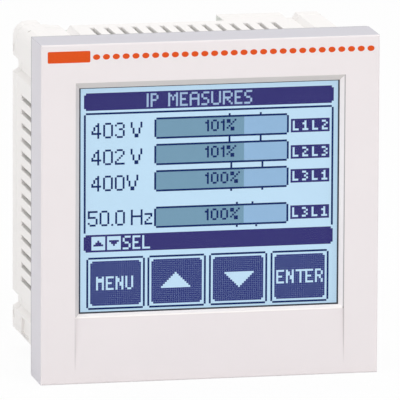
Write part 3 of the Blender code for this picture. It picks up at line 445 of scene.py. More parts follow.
def make_finishes():
    """One finish for each material slot of the record, by the slot's name."""
    return {
        "bezel": bezel_plastic("bezel_plastic"),
        "seal": foam("seal_foam", linear(64, 68, 78)),
        "touch_glass": touch_glass("touch_layer"),
        "display": lit("display_ground", LIGHT_BLUE),
        "clear": clear_plastic("clear_acrylic", linear(228, 234, 238)),
        "steel": plated_steel("plated_steel", linear(178, 180, 184)),
        "shell": moulded("shell_plastic", SHELL_WHITE, 0.50, mottle=0.012),
        "board": board_laminate("board_laminate", linear(26, 84, 52), linear(48, 116, 66)),
        "black_plastic": moulded("black_plastic", linear(34, 34, 36), 0.45, grain=0.2),
        "relay_case": moulded("relay_case_plastic", linear(38, 78, 158), 0.30, 0.5, 0.006),
        "winding": tape_winding("winding_tape", linear(222, 182, 74)),
        "socket": moulded("socket_plastic", linear(52, 112, 66), 0.42),
        "plug": moulded("plug_plastic", linear(66, 142, 84), 0.42),
        "terminal_screw": plated_steel("screw_steel", linear(196, 196, 192), 0.26),
    }


def apply_finishes(finishes):
    """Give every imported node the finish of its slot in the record."""
    for part in frame["record"]["subparts"]:
        node = NODES[part["node"]]
        node.data.materials.clear()
        node.data.materials.append(finishes[part["material_slot"]].material)


# The picture on the display: a grid of pixels, its edges from the middle of the face

COLUMNS, ROWS = 128, 112
PICTURE_LEFT, PICTURE_RIGHT = -35.2, 35.8
PICTURE_TOP, PICTURE_BOTTOM = 33.45, -28.0
PICTURE_DEPTH = 3.85
# Share of a pixel that stays open between the pixels of a key
KEY_PIXEL_GAP = 0.03

# Letters and figures: one word of marks for each row, from the top
CAPITALS = {
    "A": ".###. #...# #...# ##### #...# #...# #...#",
    "E": "#### #... #... ###. #... #... ####",
    "I": "# # # # # # #",
    "M": "#...# ##.## #.#.# #.#.# #...# #...# #...#",
    "P": "###. #..# #..# ###. #... #... #...",
    "R": "####. #...# #...# ####. #.#.. #..#. #...#",
    "S": ".### #... #... .##. ...# ...# ###.",
    "U": "#...# #...# #...# #...# #...# #...# .###.",
}
KEY_LETTERS = {
    "E": "#### #... #... ###. #... #... ####",
    "L": "#... #... #... #... #... #... ####",
    "M": "#..# #### #### #..# #..# #..# #..#",
    "N": "#..# ##.# ##.# #.## #.## #..# #..#",
    "R": "###. #..# #..# ###. #.#. #..# #..#",
    "S": ".### #... #... .##. ...# ...# ###.",
    "T": "##### ..#.. ..#.. ..#.. ..#.. ..#.. ..#..",
    "U": "#..# #..# #..# #..# #..# #..# .##.",
}
SHARES = {
    "0": ".##. #..# #..# #..# #..# .##.",
    "1": ".# ## .# .# .# .#",
    "%": "##..# ##.#. ..#.. .#... #.##. ..##.",
}
TAGS = {
    "L": "#.. #.. #.. #.. ###",
    "1": ".#. ##. .#. .#. ###",
    "2": "##. ..# .#. #.. ###",
    "3": "##. ..# .#. ..# ##.",
}
FIGURES = {
    "0": ".###. #...# #...# #...# #...# #...# #...# .###.",
    "2": ".###. #...# ....# ...#. ..#.. .#... #.... #####",
    "3": ".###. #...# ....# ..##. ....# ....# #...# .###.",
    "4": "...#. ..##. .#.#. .#.#. #..#. ##### ...#. ...#.",
    "5": "##### #.... #.... ####. ....# ....# #...# .###.",
    ".": ". . . . . . . #",
    "V": "#....# #....# #....# .#..#. .#..#. .#..#. ..##.. ..##..",
    "H": "#....# #....# #....# ###### #....# #....# #....# #....#",
    "z": ".... .... #### ...# ..#. .#.. #... ####",
}


class Picture:
    """A grid of display pixels, each with the name of its tone; empty ones show the lit ground."""

    def __init__(self):
        self.tones = {}
        self.nudge = (0.0, 0.0)

    def put(self, tone, column, row):
        if tone is None:
            self.tones.pop((column, row), None)
        else:
            across, down = self.nudge
            self.tones[column, row] = (tone, column + across, row + down)

    def fill(self, tone, left, right, top, bottom, cut=0):
        """A filled block, with corners cut by a number of pixels."""
        for row in range(top, bottom + 1):
            for column in range(left, right + 1):
                side = min(column - left, right - column)
                if side + min(row - top, bottom - row) >= cut:
                    self.put(tone, column, row)

    def frame(self, tone, left, right, top, bottom):
        """A line round a block, open at its corners."""
        for column in range(left + 1, right):
            self.put(tone, column, top)
            self.put(tone, column, bottom)
        for row in range(top + 1, bottom):
            self.put(tone, left, row)
            self.put(tone, right, row)

    def text(self, tone, letters, font, left, top, gap=1):
        """A word; returns the column after it."""
        for letter in letters:
            rows = font[letter].split()
            for down, marks in enumerate(rows):
                for across, mark in enumerate(marks):
                    if mark == "#":
                        self.put(tone, left + across, top + down)
            left += len(rows[0]) + gap
        return left

    def triangle(self, tone, apex, top, height, down):
        """A solid arrow head that points up, or down."""
        for step in range(height):
            reach = height - 1 - step if down else step
            for column in range(apex - reach, apex + reach + 1):
                self.put(tone, column, top + step)

    def tile_places(self, tone):
        """Columns and rows, with their nudges, of every pixel of a tone."""
        return [place for found, *place in self.tones.values() if found == tone]


# Layout in columns from the left and rows from the top. A drop moves a line down by part of a row.
TITLE_BOTTOM, MENU_TOP, MENU_BOTTOM = 8, 73, 81
TITLE = (("IP", 32), ("MEASURES", 43))
RULE_DROP = 0.15
# Readings: figures, unit, gap between them, left column, top row, and nudge right and down
READINGS = (("403", "V", 2, 4, 15, (-0.15, 0.45)), ("402", "V", 2, 4, 29, (-0.15, 0.20)),
            ("400", "V", 0, 4, 43, (-0.15, -0.36)), ("50.0", "Hz", 2, 2, 61, (0.1, -0.36)))
# Bars: top row, drop, share in figures, tag and the tag's drop
BARS = ((14, -0.41, "101%", "L1L2", 0.65), (28, -0.85, "101%", "L2L3", 0.25),
        (42, -1.25, "100%", "L3L1", -1.35), (60, -0.46, "100%", "L3L1", -0.55))
BAR_LEFT, BAR_SPLIT, BAR_RIGHT = 36, 81, 104
BAR_HEIGHT = 11
SHARE_LEFT, TAG_LEFT, TAG_RIGHT = 62, 106, 125
# Limit marks above, between and below the bars: drop, columns, first and last row
LIMIT_MARKS = ((-0.41, (74, 90), 13, 13), (-0.41, (74, 90), 25, 26), (-0.85, (74, 90), 27, 27),
               (-0.85, (75, 91), 39, 40), (-1.25, (75, 91), 41, 41), (-1.25, (75, 91), 53, 53),
               (-0.46, (78, 86), 59, 59), (-0.46, (78, 88), 71, 71))
# Arrows of the menu line: left column of the box, and whether it points down
MENU_ARROWS = ((4, False), (12, True))
MENU_BOX, MENU_ARROW_TOP, MENU_ARROW_HEIGHT = 7, 76, 3
MENU_WORD = ("SEL", 20)
# Keys: left column and the part of a column by which each is moved to the right
KEYS = ((1, 0.4), (33, -0.3), (64, 0.3), (96, 0.0))
KEY_TOP, KEY_BOTTOM = 85, 111
KEY_WIDTH, KEY_DROP = 30, -0.3
# Arrows of the keys: middle column, top row, and whether it points down
KEY_ARROWS = ((47, 94, False), (79, 95, True))
KEY_ARROW_HEIGHT = 8
KEY_WORDS = (("MENU", 6), ("ENT", 99), ("ER", 114))
KEY_WORD_TOP = 95


def draw_bar(picture, top, drop, share, tag, tag_drop):
    """One bar, its filled part, its share in figures and its tag, a little off its row."""
    bottom = top + BAR_HEIGHT - 1
    picture.nudge = (0.0, drop)
    picture.frame("line", BAR_LEFT, BAR_RIGHT, top, bottom)
    picture.fill("full", BAR_LEFT + 1, BAR_SPLIT, top + 1, bottom - 1)
    picture.fill("empty", BAR_SPLIT + 1, BAR_RIGHT - 1, top + 1, bottom - 1)
    picture.text("line", share, SHARES, SHARE_LEFT, top + 2)
    picture.nudge = (0.0, tag_drop)
    picture.fill("dark", TAG_LEFT, TAG_RIGHT, top + 2, top + 8)
    picture.text(None, tag, TAGS, TAG_LEFT + 1, top + 3, gap=2)


def draw_key(picture, left, drift):
    picture.nudge = (drift, KEY_DROP)
    right = left + KEY_WIDTH - 1
    picture.frame("line", left, right, KEY_TOP, KEY_BOTTOM)
    picture.fill("key", left + 2, right - 2, KEY_TOP + 2, KEY_BOTTOM - 2, cut=1)


def draw_picture():
    """The measuring page: a title, voltages and a frequency with bars, a menu line and keys."""
    picture = Picture()
    last = COLUMNS - 1
    picture.fill("dark", 0, last, 0, TITLE_BOTTOM, cut=1)
    for word, left in TITLE:
        picture.text("title", word, CAPITALS, left, 1)
    picture.nudge = (0.0, RULE_DROP)
    picture.fill("line", 1, last - 1, TITLE_BOTTOM + 2, TITLE_BOTTOM + 2)
    for column in (0, last):
        picture.fill("line", column, column, TITLE_BOTTOM + 3, MENU_TOP - 2)

    for figures, unit, gap, left, top, nudge in READINGS:
        picture.nudge = nudge
        after = picture.text("line", figures, FIGURES, left, top)
        picture.text("line", unit, FIGURES, after + gap, top)
    for bar in BARS:
        draw_bar(picture, *bar)
    for drop, columns, first, final in LIMIT_MARKS:
        picture.nudge = (0.0, drop)
        for column in columns:
            picture.fill("line", column, column, first, final)

    picture.nudge = (0.0, 0.0)
    picture.fill("dark", 0, last, MENU_TOP, MENU_BOTTOM, cut=1)
    for left, down in MENU_ARROWS:
        picture.fill(None, left, left + MENU_BOX - 1, MENU_TOP + 1, MENU_BOTTOM - 1)
        picture.triangle("dark", left + MENU_BOX // 2, MENU_ARROW_TOP, MENU_ARROW_HEIGHT, down)
    word, left = MENU_WORD
    picture.text(None, word, KEY_LETTERS, left, MENU_TOP + 1)

    for left, drift in KEYS:
        draw_key(picture, left, drift)
    for apex, top, down in KEY_ARROWS:
        picture.triangle(None, apex, top, KEY_ARROW_HEIGHT, down)
    for word, left in KEY_WORDS:
        picture.text(None, word, KEY_LETTERS, left, KEY_WORD_TOP)
    return picture


def pixel_place(column, row):
    """Where the middle of a pixel lies."""
    across = (column + 0.5) / COLUMNS
    down = (row + 0.5) / ROWS
    return inside(PICTURE_LEFT + across * (PICTURE_RIGHT - PICTURE_LEFT), PICTURE_DEPTH,
                  PICTURE_TOP + down * (PICTURE_BOTTOM - PICTURE_TOP))


# Node trees for what repeats

class Tree:
    """A geometry node tree with named inputs, run once on a mesh and kept as a plain mesh."""

    SOCKETS = {float: "NodeSocketFloat", bpy.types.Object: "NodeSocketObject",
               bpy.types.Material: "NodeSocketMaterial"}

    def __init__(self, name, **inputs):
        self.group = bpy.data.node_groups.new(name, "GeometryNodeTree")
        face = self.group.interface
        face.new_socket(name="Geometry", in_out="INPUT", socket_type="NodeSocketGeometry")
        face.new_socket(name="Geometry", in_out="OUTPUT", socket_type="NodeSocketGeometry")
        for key, kind in inputs.items():
            face.new_socket(name=key, in_out="INPUT", socket_type=self.SOCKETS[kind])
        self.start = self.group.nodes.new("NodeGroupInput")
        self.end = self.group.nodes.new("NodeGroupOutput")

    def input(self, name):
        return self.start.outputs[name]

    def add(self, kind, settings=None, output=0, **sockets):
        """Add a node: its settings first, then its sockets; a socket's name has _ for a space."""
        node = self.group.nodes.new(kind)
        for name, value in (settings or {}).items():
            setattr(node, name, value)
        for name, value in sockets.items():
            self.join(node.inputs[name.replace("_", " ")], value)
        return node.outputs[output]

    def join(self, socket, value):
        if isinstance(value, bpy.types.NodeSocket):
            self.group.links.new(value, socket)
        else:
            socket.default_value = value

    def close(self, geometry):
        """End the tree: real copies, with one material."""
        real = self.add("GeometryNodeRealizeInstances", Geometry=geometry)
        painted = self.add("GeometryNodeSetMaterial", Geometry=real, Material=self.input("Finish"))
        self.join(self.end.inputs[0], painted)

    def run(self, name, points, **values):
        """Feed the tree loose points and keep what it makes as a new piece."""
        holder = bpy.data.meshes.new(name + "_points")
        holder.from_pydata([tuple(point) for point in points], [], [])
        piece = bpy.data.objects.new(name, holder)
        bpy.context.scene.collection.objects.link(piece)
        modifier = piece.modifiers.new("repeat", "NODES")
        modifier.node_group = self.group
        for socket in self.group.interface.items_tree:
            if socket.in_out == "INPUT" and socket.name in values:
                modifier[socket.identifier] = values[socket.name]
        piece.update_tag()
        evaluated(piece)
        bpy.data.meshes.remove(holder)
        return piece


def belong(piece, body):
    """Let a finished piece ride on its body."""
    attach(piece, body)


FACING_FRONT = (math.pi / 2, 0, 0)
DOT_SIDES = 24
TURN_STEPS, RIDGE_SIDES = 20, 3


def tile_tree():
    """A flat tile that faces the front, on every point."""
    tree = Tree("tiles", Width=float, Height=float, Finish=bpy.types.Material)
    tile = tree.add("GeometryNodeMeshGrid", Size_X=tree.input("Width"), Size_Y=tree.input("Height"),
                    Vertices_X=2, Vertices_Y=2)
    placed = tree.add("GeometryNodeInstanceOnPoints", Points=tree.input("Geometry"), Instance=tile,
                      Rotation=FACING_FRONT)
    tree.close(placed)
    return tree


def dot_tree():
    """A thin oval dot, facing the front, on every point."""
    tree = Tree("dots", Radius=float, Thickness=float, Flatness=float, Finish=bpy.types.Material)
    disc = tree.add("GeometryNodeMeshCylinder", {"fill_type": "NGON"}, Vertices=DOT_SIDES,
                    Radius=tree.input("Radius"), Depth=tree.input("Thickness"))
    oval = tree.add("ShaderNodeCombineXYZ", X=1.0, Y=tree.input("Flatness"), Z=1.0)
    placed = tree.add("GeometryNodeInstanceOnPoints", Points=tree.input("Geometry"), Instance=disc,
                      Rotation=FACING_FRONT, Scale=oval)
    tree.close(placed)
    return tree


def copy_tree():
    """A copy of another object on every point."""
    tree = Tree("copies", Shape=bpy.types.Object, Finish=bpy.types.Material)
    shape = tree.add("GeometryNodeObjectInfo", {"transform_space": "ORIGINAL"}, "Geometry",
                     Object=tree.input("Shape"))
    placed = tree.add("GeometryNodeInstanceOnPoints", Points=tree.input("Geometry"), Instance=shape)
    tree.close(placed)
    return tree


def thread_tree():
    """A thin helical ridge round the Z axis, its top at height zero."""
    tree = Tree("thread", Radius=float, Length=float, Turns=float, Ridge=float,
                Finish=bpy.types.Material)
    helix = tree.add("GeometryNodeCurveSpiral", Resolution=TURN_STEPS,
                     Rotations=tree.input("Turns"), Start_Radius=tree.input("Radius"),
                     End_Radius=tree.input("Radius"), Height=tree.input("Length"))
    profile = tree.add("GeometryNodeCurvePrimitiveCircle", Resolution=RIDGE_SIDES,
                       Radius=tree.input("Ridge"))
    tube = tree.add("GeometryNodeCurveToMesh", Curve=helix, Profile_Curve=profile, Fill_Caps=True)
    drop = tree.add("ShaderNodeMath", {"operation": "MULTIPLY"}, Value=tree.input("Length"))
    drop.node.inputs[1].default_value = -1.0
    down = tree.add("ShaderNodeCombineXYZ", X=0.0, Y=0.0, Z=drop)
    tree.close(tree.add("GeometryNodeTransform", Geometry=tube, Translation=down))
    return tree


# The face

def add_picture():
    """One flat piece for each tone of the picture, just before the display's glass."""
    picture = draw_picture()
    tones = {"dark": DARK_BLUE, "line": LINE_BLUE, "title": TITLE_BLUE, "full": FULL_BLUE,
             "empty": EMPTY_BLUE, "key": KEY_BLUE}
    width = (PICTURE_RIGHT - PICTURE_LEFT) / COLUMNS * MM
    height = (PICTURE_TOP - PICTURE_BOTTOM) / ROWS * MM
    tiles = tile_tree()
    for tone, colour in tones.items():
        places = [pixel_place(*place) for place in picture.tile_places(tone)]
        gap = KEY_PIXEL_GAP if tone == "key" else 0.0
        ink = lit(f"display_{tone}", colour)
        piece = tiles.run(f"display_picture_{tone}", places, Width=width * (1 - gap),
                          Height=height * (1 - gap), Finish=ink.material)
        belong(piece, "relay")


INK_THICKNESS = 0.03
ORANGE = linear(222, 80, 16)
BLOCK_X, BLOCK_Z = (-46.2, -34.2), (42.88, 46.12)
BLOCK_CORNER = 0.35
DOT_COUNT = 29
DOT_FIRST, DOT_LAST = -32.44, 45.43
DOT_HEIGHT = 44.3
DOT_RADIUS = 1.0
DOT_FLATNESS = 0.78


def thickened(bm):
    """Give flat ink its thickness, from the front back to the surface that it is printed on."""
    grown = bmesh.ops.extrude_face_region(bm, geom=list(bm.faces))["geom"]
    moved = [item for item in grown if isinstance(item, bmesh.types.BMVert)]
    bmesh.ops.translate(bm, verts=moved, vec=(0, INK_THICKNESS * MM, 0))
    return bm


def add_face_print():
    """The orange bar and the row of orange dots along the top of the face."""
    ink = printed("orange_ink", ORANGE).material
    step = (DOT_LAST - DOT_FIRST) / (DOT_COUNT - 1)
    places = [inside(DOT_FIRST + index * step, -INK_THICKNESS / 2, DOT_HEIGHT)
              for index in range(DOT_COUNT)]
    dots = dot_tree().run("orange_dots", places, Radius=DOT_RADIUS * MM,
                          Thickness=INK_THICKNESS * MM, Flatness=DOT_FLATNESS, Finish=ink)
    belong(dots, "relay")

    bm = bmesh.new()
    outline = rounded(BLOCK_X, BLOCK_Z, BLOCK_CORNER)
    bm.faces.new([bm.verts.new(inside(x, -INK_THICKNESS, z)) for x, z in outline])
    belong(finished("orange_bar", thickened(bm), ink), "relay")


MASK_LEFT, MASK_RIGHT = -36.34, 36.80
MASK_TOP, MASK_BOTTOM = 35.00, -28.20
MASK_WIDTH = 1.0
MASK_DEPTH = 2.77


def add_mask():
    """The dark border printed on the touch panel, a thin line inside the window, which also stands
    as painted shade for the gap along the window's edge.
    """
    bm = bmesh.new()
    loops = []
    for grow in (MASK_WIDTH, 0.0):
        corners = ((MASK_LEFT - grow, MASK_BOTTOM - grow), (MASK_RIGHT + grow, MASK_BOTTOM - grow),
                   (MASK_RIGHT + grow, MASK_TOP + grow), (MASK_LEFT - grow, MASK_TOP + grow))
        loops.append([bm.verts.new(inside(x, MASK_DEPTH, z)) for x, z in corners])
    for i in range(4):
        bm.faces.new((loops[0][i - 1], loops[0][i], loops[1][i], loops[1][i - 1]))
    # Dark ink that also serves as painted shade at the window's edge
    ink = printed("border_ink_and_shade", linear(36, 58, 94))
    belong(finished("touch_border", thickened(bm), ink.material), "relay")


def rounded(across, up, radius, steps=4):
    """Outline of a rectangle with round corners, anticlockwise from its right end."""
    (left, right), (low, high) = across, up
    centres = ((right - radius, high - radius), (left + radius, high - radius),
               (left + radius, low + radius), (right - radius, low + radius))
    points = []
    for quarter, (x, z) in enumerate(centres):
        for step in range(steps + 1):
            angle = math.pi / 2 * (quarter + step / steps)
            points.append((x + radius * math.cos(angle), z + radius * math.sin(angle)))
    return points


# Edges with a greater angle stay sharp on smooth pieces
SHARP_MOULDED, SHARP_SCREW = math.radians(28), math.radians(35)
WELD = 0.001 * MM


def finished(name, bm, material, flat=True):
    """Turn a bmesh into a piece at the origin, faces outwards."""
    bmesh.ops.recalc_face_normals(bm, faces=bm.faces)
    mesh = bpy.data.meshes.new(name)
    bm.to_mesh(mesh)
    bm.free()
    mesh.materials.append(material)
    if not flat:
        mesh.shade_smooth()
        mesh.set_sharp_from_angle(angle=SHARP_MOULDED)
    piece = bpy.data.objects.new(name, mesh)
    bpy.context.scene.collection.objects.link(piece)
    return piece


# Moulded shells with soft edges

def evaluated(piece):
    """Keep what a piece's modifiers make as its own mesh."""
    depsgraph = bpy.context.evaluated_depsgraph_get()
    mesh = bpy.data.meshes.new_from_object(piece.evaluated_get(depsgraph), depsgraph=depsgraph)
    piece.modifiers.clear()
    piece.data = mesh


# Edge radius of each moulded piece, and whether all its faces are flat
SOFT_EDGES = {"bezel": (0.25, True), "housing": (0.2, False), "rear_cover": (0.2, False),
              "slot_cover_1": (0.15, True), "slot_cover_2": (0.15, True),
              "voltage_plug": (0.15, False), "supply_plug": (0.15, False),
              "relay_plug": (0.15, False), "input_plug": (0.15, False)}
# Edges with a smaller angle stay sharp, and so do shorter ones. An edge counts as a fold from
# FOLD_ANGLE on, and faces that differ by less than FLAT_ANGLE become one.
SOFT_ANGLE, SOFT_SHORTEST = math.radians(34), 0.8 * MM
FOLD_ANGLE, FLAT_ANGLE = math.radians(1), math.radians(0.5)


def soften(node_name, width, flat, finishes):
    """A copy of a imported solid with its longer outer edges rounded; it stands for that solid."""
    node = NODES[node_name]
    bm = bmesh.new()
    bm.from_mesh(node.data)
    bmesh.ops.remove_doubles(bm, verts=bm.verts, dist=WELD)
    folds = [edge for edge in bm.edges if edge.calc_face_angle(0) > FOLD_ANGLE]
    tight = {vert for edge in folds if edge.calc_length() < SOFT_SHORTEST for vert in edge.verts}
    outer = [edge for edge in folds if edge.is_convex and edge.calc_length() > SOFT_SHORTEST
             and edge.calc_face_angle() > SOFT_ANGLE and not tight.intersection(edge.verts)]
    bmesh.ops.bevel(bm, geom=outer, offset=width * MM, segments=2, profile=0.5, affect="EDGES",
                    clamp_overlap=False)
    bmesh.ops.dissolve_limit(bm, angle_limit=FLAT_ANGLE, verts=bm.verts, edges=bm.edges)
    slot = next(part["material_slot"] for part in frame["record"]["subparts"]
                if part["node"] == node_name)
    piece = finished(node_name + "_moulded", bm, finishes[slot].material, flat)
    if not flat:
        even = piece.modifiers.new("even", "WEIGHTED_NORMAL")
        even.keep_sharp = True
        even.weight = 100
        evaluated(piece)
    belong(piece, node["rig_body"])
    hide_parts(node_name)


# Screws

SCREW_SIDES = 40
COVER_HEAD, TERMINAL_HEAD = 1.2, 1.4
COVER_SHANK, TERMINAL_SHANK = 1.3, 1.1
COVER_SLOT, TERMINAL_SLOT = 0.7, 0.5
THREAD_RIDGE, THREAD_PITCH = 0.16, 0.5
HEAD_CHAMFER, SCREW_TIP = 0.1, 0.25
# Outline of a head from its middle: shares of its radius, and shares of the crown below its top
HEAD_OUTLINE = ((0, 0), (0.55, 0), (0.86, 0.4), (1, 1.6))
CROWN = 0.18
# The block that cuts the slot: its length in head radii, and its height in head heights
SLOT_LENGTH, SLOT_HEIGHT = 3, 0.9
# Turns that leave each slot at its own angle: a start, and radians for each metre to the right
COVER_TURN, COVER_TURN_RATE, TERMINAL_TURN_RATE = 0.6, 9, 40


def turned(name, profile, material):
    """A solid turned about Z from (radius, height) points that start and end on the axis."""
    bm = bmesh.new()
    rim = [bm.verts.new((radius, 0, height)) for radius, height in profile]
    lines = [bm.edges.new(pair) for pair in zip(rim, rim[1:])]
    bmesh.ops.spin(bm, geom=rim + lines, cent=(0, 0, 0), axis=(0, 0, 1), angle=2 * math.pi,
                   steps=SCREW_SIDES, use_merge=True)
    bmesh.ops.remove_doubles(bm, verts=bm.verts, dist=WELD)
    return finished(name, bm, material, flat=False)


def screw_shape(name, head_radius, head_height, shank_radius, length, slot_width, thread, material):
    """A slotted screw along Z with its head's underside at zero, all in metres."""
    ridge, chamfer, tip = THREAD_RIDGE * MM, HEAD_CHAMFER * MM, SCREW_TIP * MM
    core = shank_radius - ridge
    crown = head_height * CROWN
    profile = [(head_radius * out, head_height - crown * down) for out, down in HEAD_OUTLINE]
    profile += [(head_radius, chamfer), (head_radius - chamfer, 0),
                (core, 0), (core, tip - length), (core - tip, -length), (0, -length)]
    blank = turned(name, profile, material)
    bm = bmesh.new()
    bmesh.ops.create_cube(bm, size=1.0)
    bmesh.ops.scale(bm, verts=bm.verts,
                    vec=(SLOT_LENGTH * head_radius, slot_width, SLOT_HEIGHT * head_height))
    bmesh.ops.translate(bm, verts=bm.verts, vec=(0, 0, head_height))
    cutter = finished(name + "_slot", bm, material)
    cut = blank.modifiers.new("slot", "BOOLEAN")
    cut.object = cutter
    evaluated(blank)
    bpy.data.objects.remove(cutter)
    blank.data.shade_smooth()
    blank.data.set_sharp_from_angle(angle=SHARP_SCREW)

    pitch = THREAD_PITCH * MM
    run = length - 2 * tip
    helix = thread.run(name + "_thread", [(0, 0, 0)], Radius=core, Length=run - pitch / 2,
                       Turns=run / pitch, Ridge=ridge, Finish=material)
    joined = bmesh.new()
    joined.from_mesh(blank.data)
    joined.from_mesh(helix.data)
    for piece in (blank, helix):
        bpy.data.objects.remove(piece)
    return joined


def place_screws(shape, nodes, turn, seat, slot, finishes):
    """Put a copy of the screw, turned and seated, on each node's place; it stands for that node."""
    for name in nodes:
        low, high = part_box(name)
        bm = shape.copy()
        matrix = Matrix.Translation(seat(low, high)) @ turn(low)
        bmesh.ops.transform(bm, matrix=matrix, verts=bm.verts)
        mesh = bpy.data.meshes.new(name + "_turned")
        bm.to_mesh(mesh)
        bm.free()
        mesh.materials.append(finishes[slot].material)
        piece = bpy.data.objects.new(name + "_turned", mesh)
        bpy.context.scene.collection.objects.link(piece)
        belong(piece, NODES[name]["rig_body"])
        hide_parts(name)


def add_screws(finishes):
    """The cover's screws point forward; the clamping screws point into the plugs, up or down."""
    thread = thread_tree()
    covers = sorted(name for name in NODES if name.startswith("cover_screw"))
    low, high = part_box(covers[0])
    head = (high.x - low.x) / 2
    length = high.y - low.y - COVER_HEAD * MM
    shape = screw_shape("cover_screw_shape", head, COVER_HEAD * MM, COVER_SHANK * MM, length,
                        COVER_SLOT * MM, thread, finishes["steel"].material)
    backwards = Matrix.Rotation(-math.pi / 2, 4, "X")

    def cover_turn(low):
        return backwards @ Matrix.Rotation(COVER_TURN + COVER_TURN_RATE * low.x, 4, "Z")

    def cover_seat(low, high):
        return Vector(((low.x + high.x) / 2, high.y - COVER_HEAD * MM, (low.z + high.z) / 2))

    place_screws(shape, covers, cover_turn, cover_seat, "steel", finishes)
    shape.free()

    terminals = sorted(name for name in NODES if "_screw_" in name and name not in covers)
    low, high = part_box(terminals[0])
    head = (high.x - low.x) / 2
    length = high.z - low.z - TERMINAL_HEAD * MM
    shape = screw_shape("terminal_screw_shape", head, TERMINAL_HEAD * MM, TERMINAL_SHANK * MM,
                        length, TERMINAL_SLOT * MM, thread, finishes["terminal_screw"].material)

    def terminal_turn(low):
        turn = Matrix.Rotation(TERMINAL_TURN_RATE * low.x, 4, "Z")
        return turn if low.z > MIDDLE_Z else Matrix.Rotation(math.pi, 4, "X") @ turn

    def terminal_seat(low, high):
        height = high.z - TERMINAL_HEAD * MM if low.z > MIDDLE_Z else low.z + TERMINAL_HEAD * MM
        return Vector(((low.x + high.x) / 2, (low.y + high.y) / 2, height))

    place_screws(shape, terminals, terminal_turn, terminal_seat, "terminal_screw", finishes)
    shape.free()


# Wire clamps: ENTRY_LOW is measured from the plug's side that faces the middle height, and
# CLAMP_SETBACK from the plug's back

PLUGS = ("voltage", "supply", "relay", "input")
ENTRY_WIDTH, ENTRY_HEIGHT, ENTRY_LOW = 3.4, 3.6, 1.8
CLAMP_PLAY, CLAMP_WALL = 0.05, 0.45
CLAMP_SETBACK, CLAMP_LENGTH = 0.7, 4.8


def clamp_shape(material):
    """A steel cage with open ends, its back end round the origin."""
    bm = bmesh.new()
    rings = []
    for depth, inset in ((0, 0), (0, CLAMP_WALL), (-CLAMP_LENGTH, CLAMP_WALL), (-CLAMP_LENGTH, 0)):
        x = (ENTRY_WIDTH / 2 - CLAMP_PLAY - inset) * MM
        z = (ENTRY_HEIGHT / 2 - CLAMP_PLAY - inset) * MM
        corners = ((-x, -z), (x, -z), (x, z), (-x, z))
        rings.append([bm.verts.new((across, depth * MM, up)) for across, up in corners])
    for ring, after in zip(rings, rings[1:] + rings[:1]):
        for i in range(4):
            bm.faces.new((ring[i - 1], ring[i], after[i], after[i - 1]))
    return finished("clamp_shape", bm, material)


def add_clamps(finishes):
    """A steel clamp in each wire entry, riding on its plug."""
    copies = copy_tree()
    material = finishes["terminal_screw"].material
    shape = clamp_shape(material)
    rise = (ENTRY_LOW + ENTRY_HEIGHT / 2) * MM
    for plug in PLUGS:
        low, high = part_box(plug + "_plug")
        height = low.z + rise if low.z > MIDDLE_Z else high.z - rise
        places = []
        for name in sorted(name for name in NODES if name.startswith(plug + "_screw_")):
            left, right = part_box(name)
            places.append(((left.x + right.x) / 2, high.y - CLAMP_SETBACK * MM, height))
        clamps = copies.run(plug + "_clamps", places, Shape=shape, Finish=material)
        belong(clamps, NODES[plug + "_plug"]["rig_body"])
    bpy.data.objects.remove(shape)


# Studio: angles in degrees; distances, places and sizes in metres

CAMERA_YAW = 12.079
CAMERA_PITCH = 11.028
CAMERA_ROLL = 0.278
CAMERA_DISTANCE = 2.4570
# Right of the middle line and above the middle height, where the camera aims on the face
CAMERA_AIM = (-0.00301, 0.00300)
FOCAL_PIXELS = 8838.4
PHOTO_PIXELS = 400
SENSOR_WIDTH = 36.0


def add_camera():
    """A long lens to the left of the face and above it, as in the photograph."""
    yaw, pitch, roll = (math.radians(angle) for angle in (CAMERA_YAW, CAMERA_PITCH, CAMERA_ROLL))
    ahead = Vector((math.sin(yaw) * math.cos(pitch), math.cos(yaw) * math.cos(pitch),
                    -math.sin(pitch)))
    level = Vector((math.cos(yaw), -math.sin(yaw), 0))
    upward = level.cross(ahead)
    right = level * math.cos(roll) + upward * math.sin(roll)
    top = upward * math.cos(roll) - level * math.sin(roll)
    data = bpy.data.cameras.new("camera")
    data.sensor_width = SENSOR_WIDTH
    data.lens = FOCAL_PIXELS / PHOTO_PIXELS * SENSOR_WIDTH
    data.clip_start, data.clip_end = 0.1, 100
    camera = bpy.data.objects.new("camera", data)
    aim = Vector((CAMERA_AIM[0], FACE_Y, MIDDLE_Z + CAMERA_AIM[1]))
    turn = Matrix((right, top, -ahead)).transposed().to_4x4()
    camera.matrix_world = Matrix.Translation(aim - ahead * CAMERA_DISTANCE) @ turn
    bpy.context.scene.collection.objects.link(camera)
    bpy.context.scene.camera = camera


def add_lamp(name, place, size, power):
    """A square soft box that points at the relay."""
    data = bpy.data.lights.new(name, "AREA")
    data.shape = "SQUARE"
    data.size = size
    data.energy = power
    lamp = bpy.data.objects.new(name, data)
    turn = (Vector((0, 0, MIDDLE_Z)) - Vector(place)).to_track_quat("-Z", "Y")
    lamp.matrix_world = Matrix.Translation(place) @ turn.to_matrix().to_4x4()
    lamp.visible_camera = False
    bpy.context.scene.collection.objects.link(lamp)


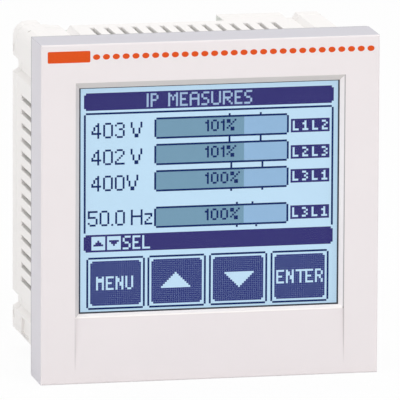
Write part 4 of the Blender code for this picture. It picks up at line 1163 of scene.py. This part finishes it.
# Name, place, size and power of each lamp
LAMPS = (("key", (0.9, -1.3, 1.3), 0.9, 13.0), ("fill", (-1.4, -0.7, 0.8), 1.0, 8.0),
         ("top", (0.0, 0.4, 1.6), 1.2, 8.0))
FILL_LIGHT = 0.50
# Share of plain white in what is seen of the floor
FLOOR_LIFT = 0.93
FLOOR_SIZE = 30.0


def seen_directly(finish):
    """1 for what the camera sees, also by a reflection or through glass."""
    rays = [finish.add("ShaderNodeLightPath", {}, {}, f"Is {kind} Ray")
            for kind in ("Camera", "Glossy", "Transmission")]
    return rays[0].larger(rays[1]).larger(rays[2])


def add_world():
    """Even fill light, which the camera sees as white."""
    world = bpy.data.worlds.new("studio")
    world.use_nodes = True
    bpy.context.scene.world = world
    backdrop = Finish.__new__(Finish)
    backdrop.tree = world.node_tree
    background = world.node_tree.nodes["Background"]
    background.inputs["Color"].default_value = (1, 1, 1, 1)
    seen = seen_directly(backdrop)
    backdrop.join(background.inputs["Strength"], seen * (1 - FILL_LIGHT) + FILL_LIGHT)


def add_floor():
    """A pale floor that keeps the soft shadow and looks white around it."""
    bm = bmesh.new()
    bmesh.ops.create_grid(bm, x_segments=1, y_segments=1, size=FLOOR_SIZE / 2)
    finish = Finish("floor_white", (0.90, 0.90, 0.90, 1.0), 0.9, Specular_IOR_Level=0.0)
    white = finish.add("ShaderNodeEmission", {}, {"Color": (1, 1, 1, 1), "Strength": 1.0})
    output = finish.tree.nodes["Material Output"]
    base = Value(finish, finish.shader.outputs[0])
    mixed = finish.add("ShaderNodeMixShader", {},
                       {0: seen_directly(finish) * FLOOR_LIFT, 1: base, 2: white})
    finish.join(output.inputs["Surface"], mixed)
    floor = finished("floor", bm, finish.material)
    floor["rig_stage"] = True


def add_studio():
    bpy.context.scene.view_settings.view_transform = "Standard"
    add_camera()
    add_world()
    add_floor()
    for lamp in LAMPS:
        add_lamp(*lamp)


def main():
    finishes = make_finishes()
    apply_finishes(finishes)
    add_picture()
    add_face_print()
    add_mask()
    for name, (width, flat) in SOFT_EDGES.items():
        soften(name, width, flat, finishes)
    add_screws(finishes)
    add_clamps(finishes)
    add_studio()


main()
LOW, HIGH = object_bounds()
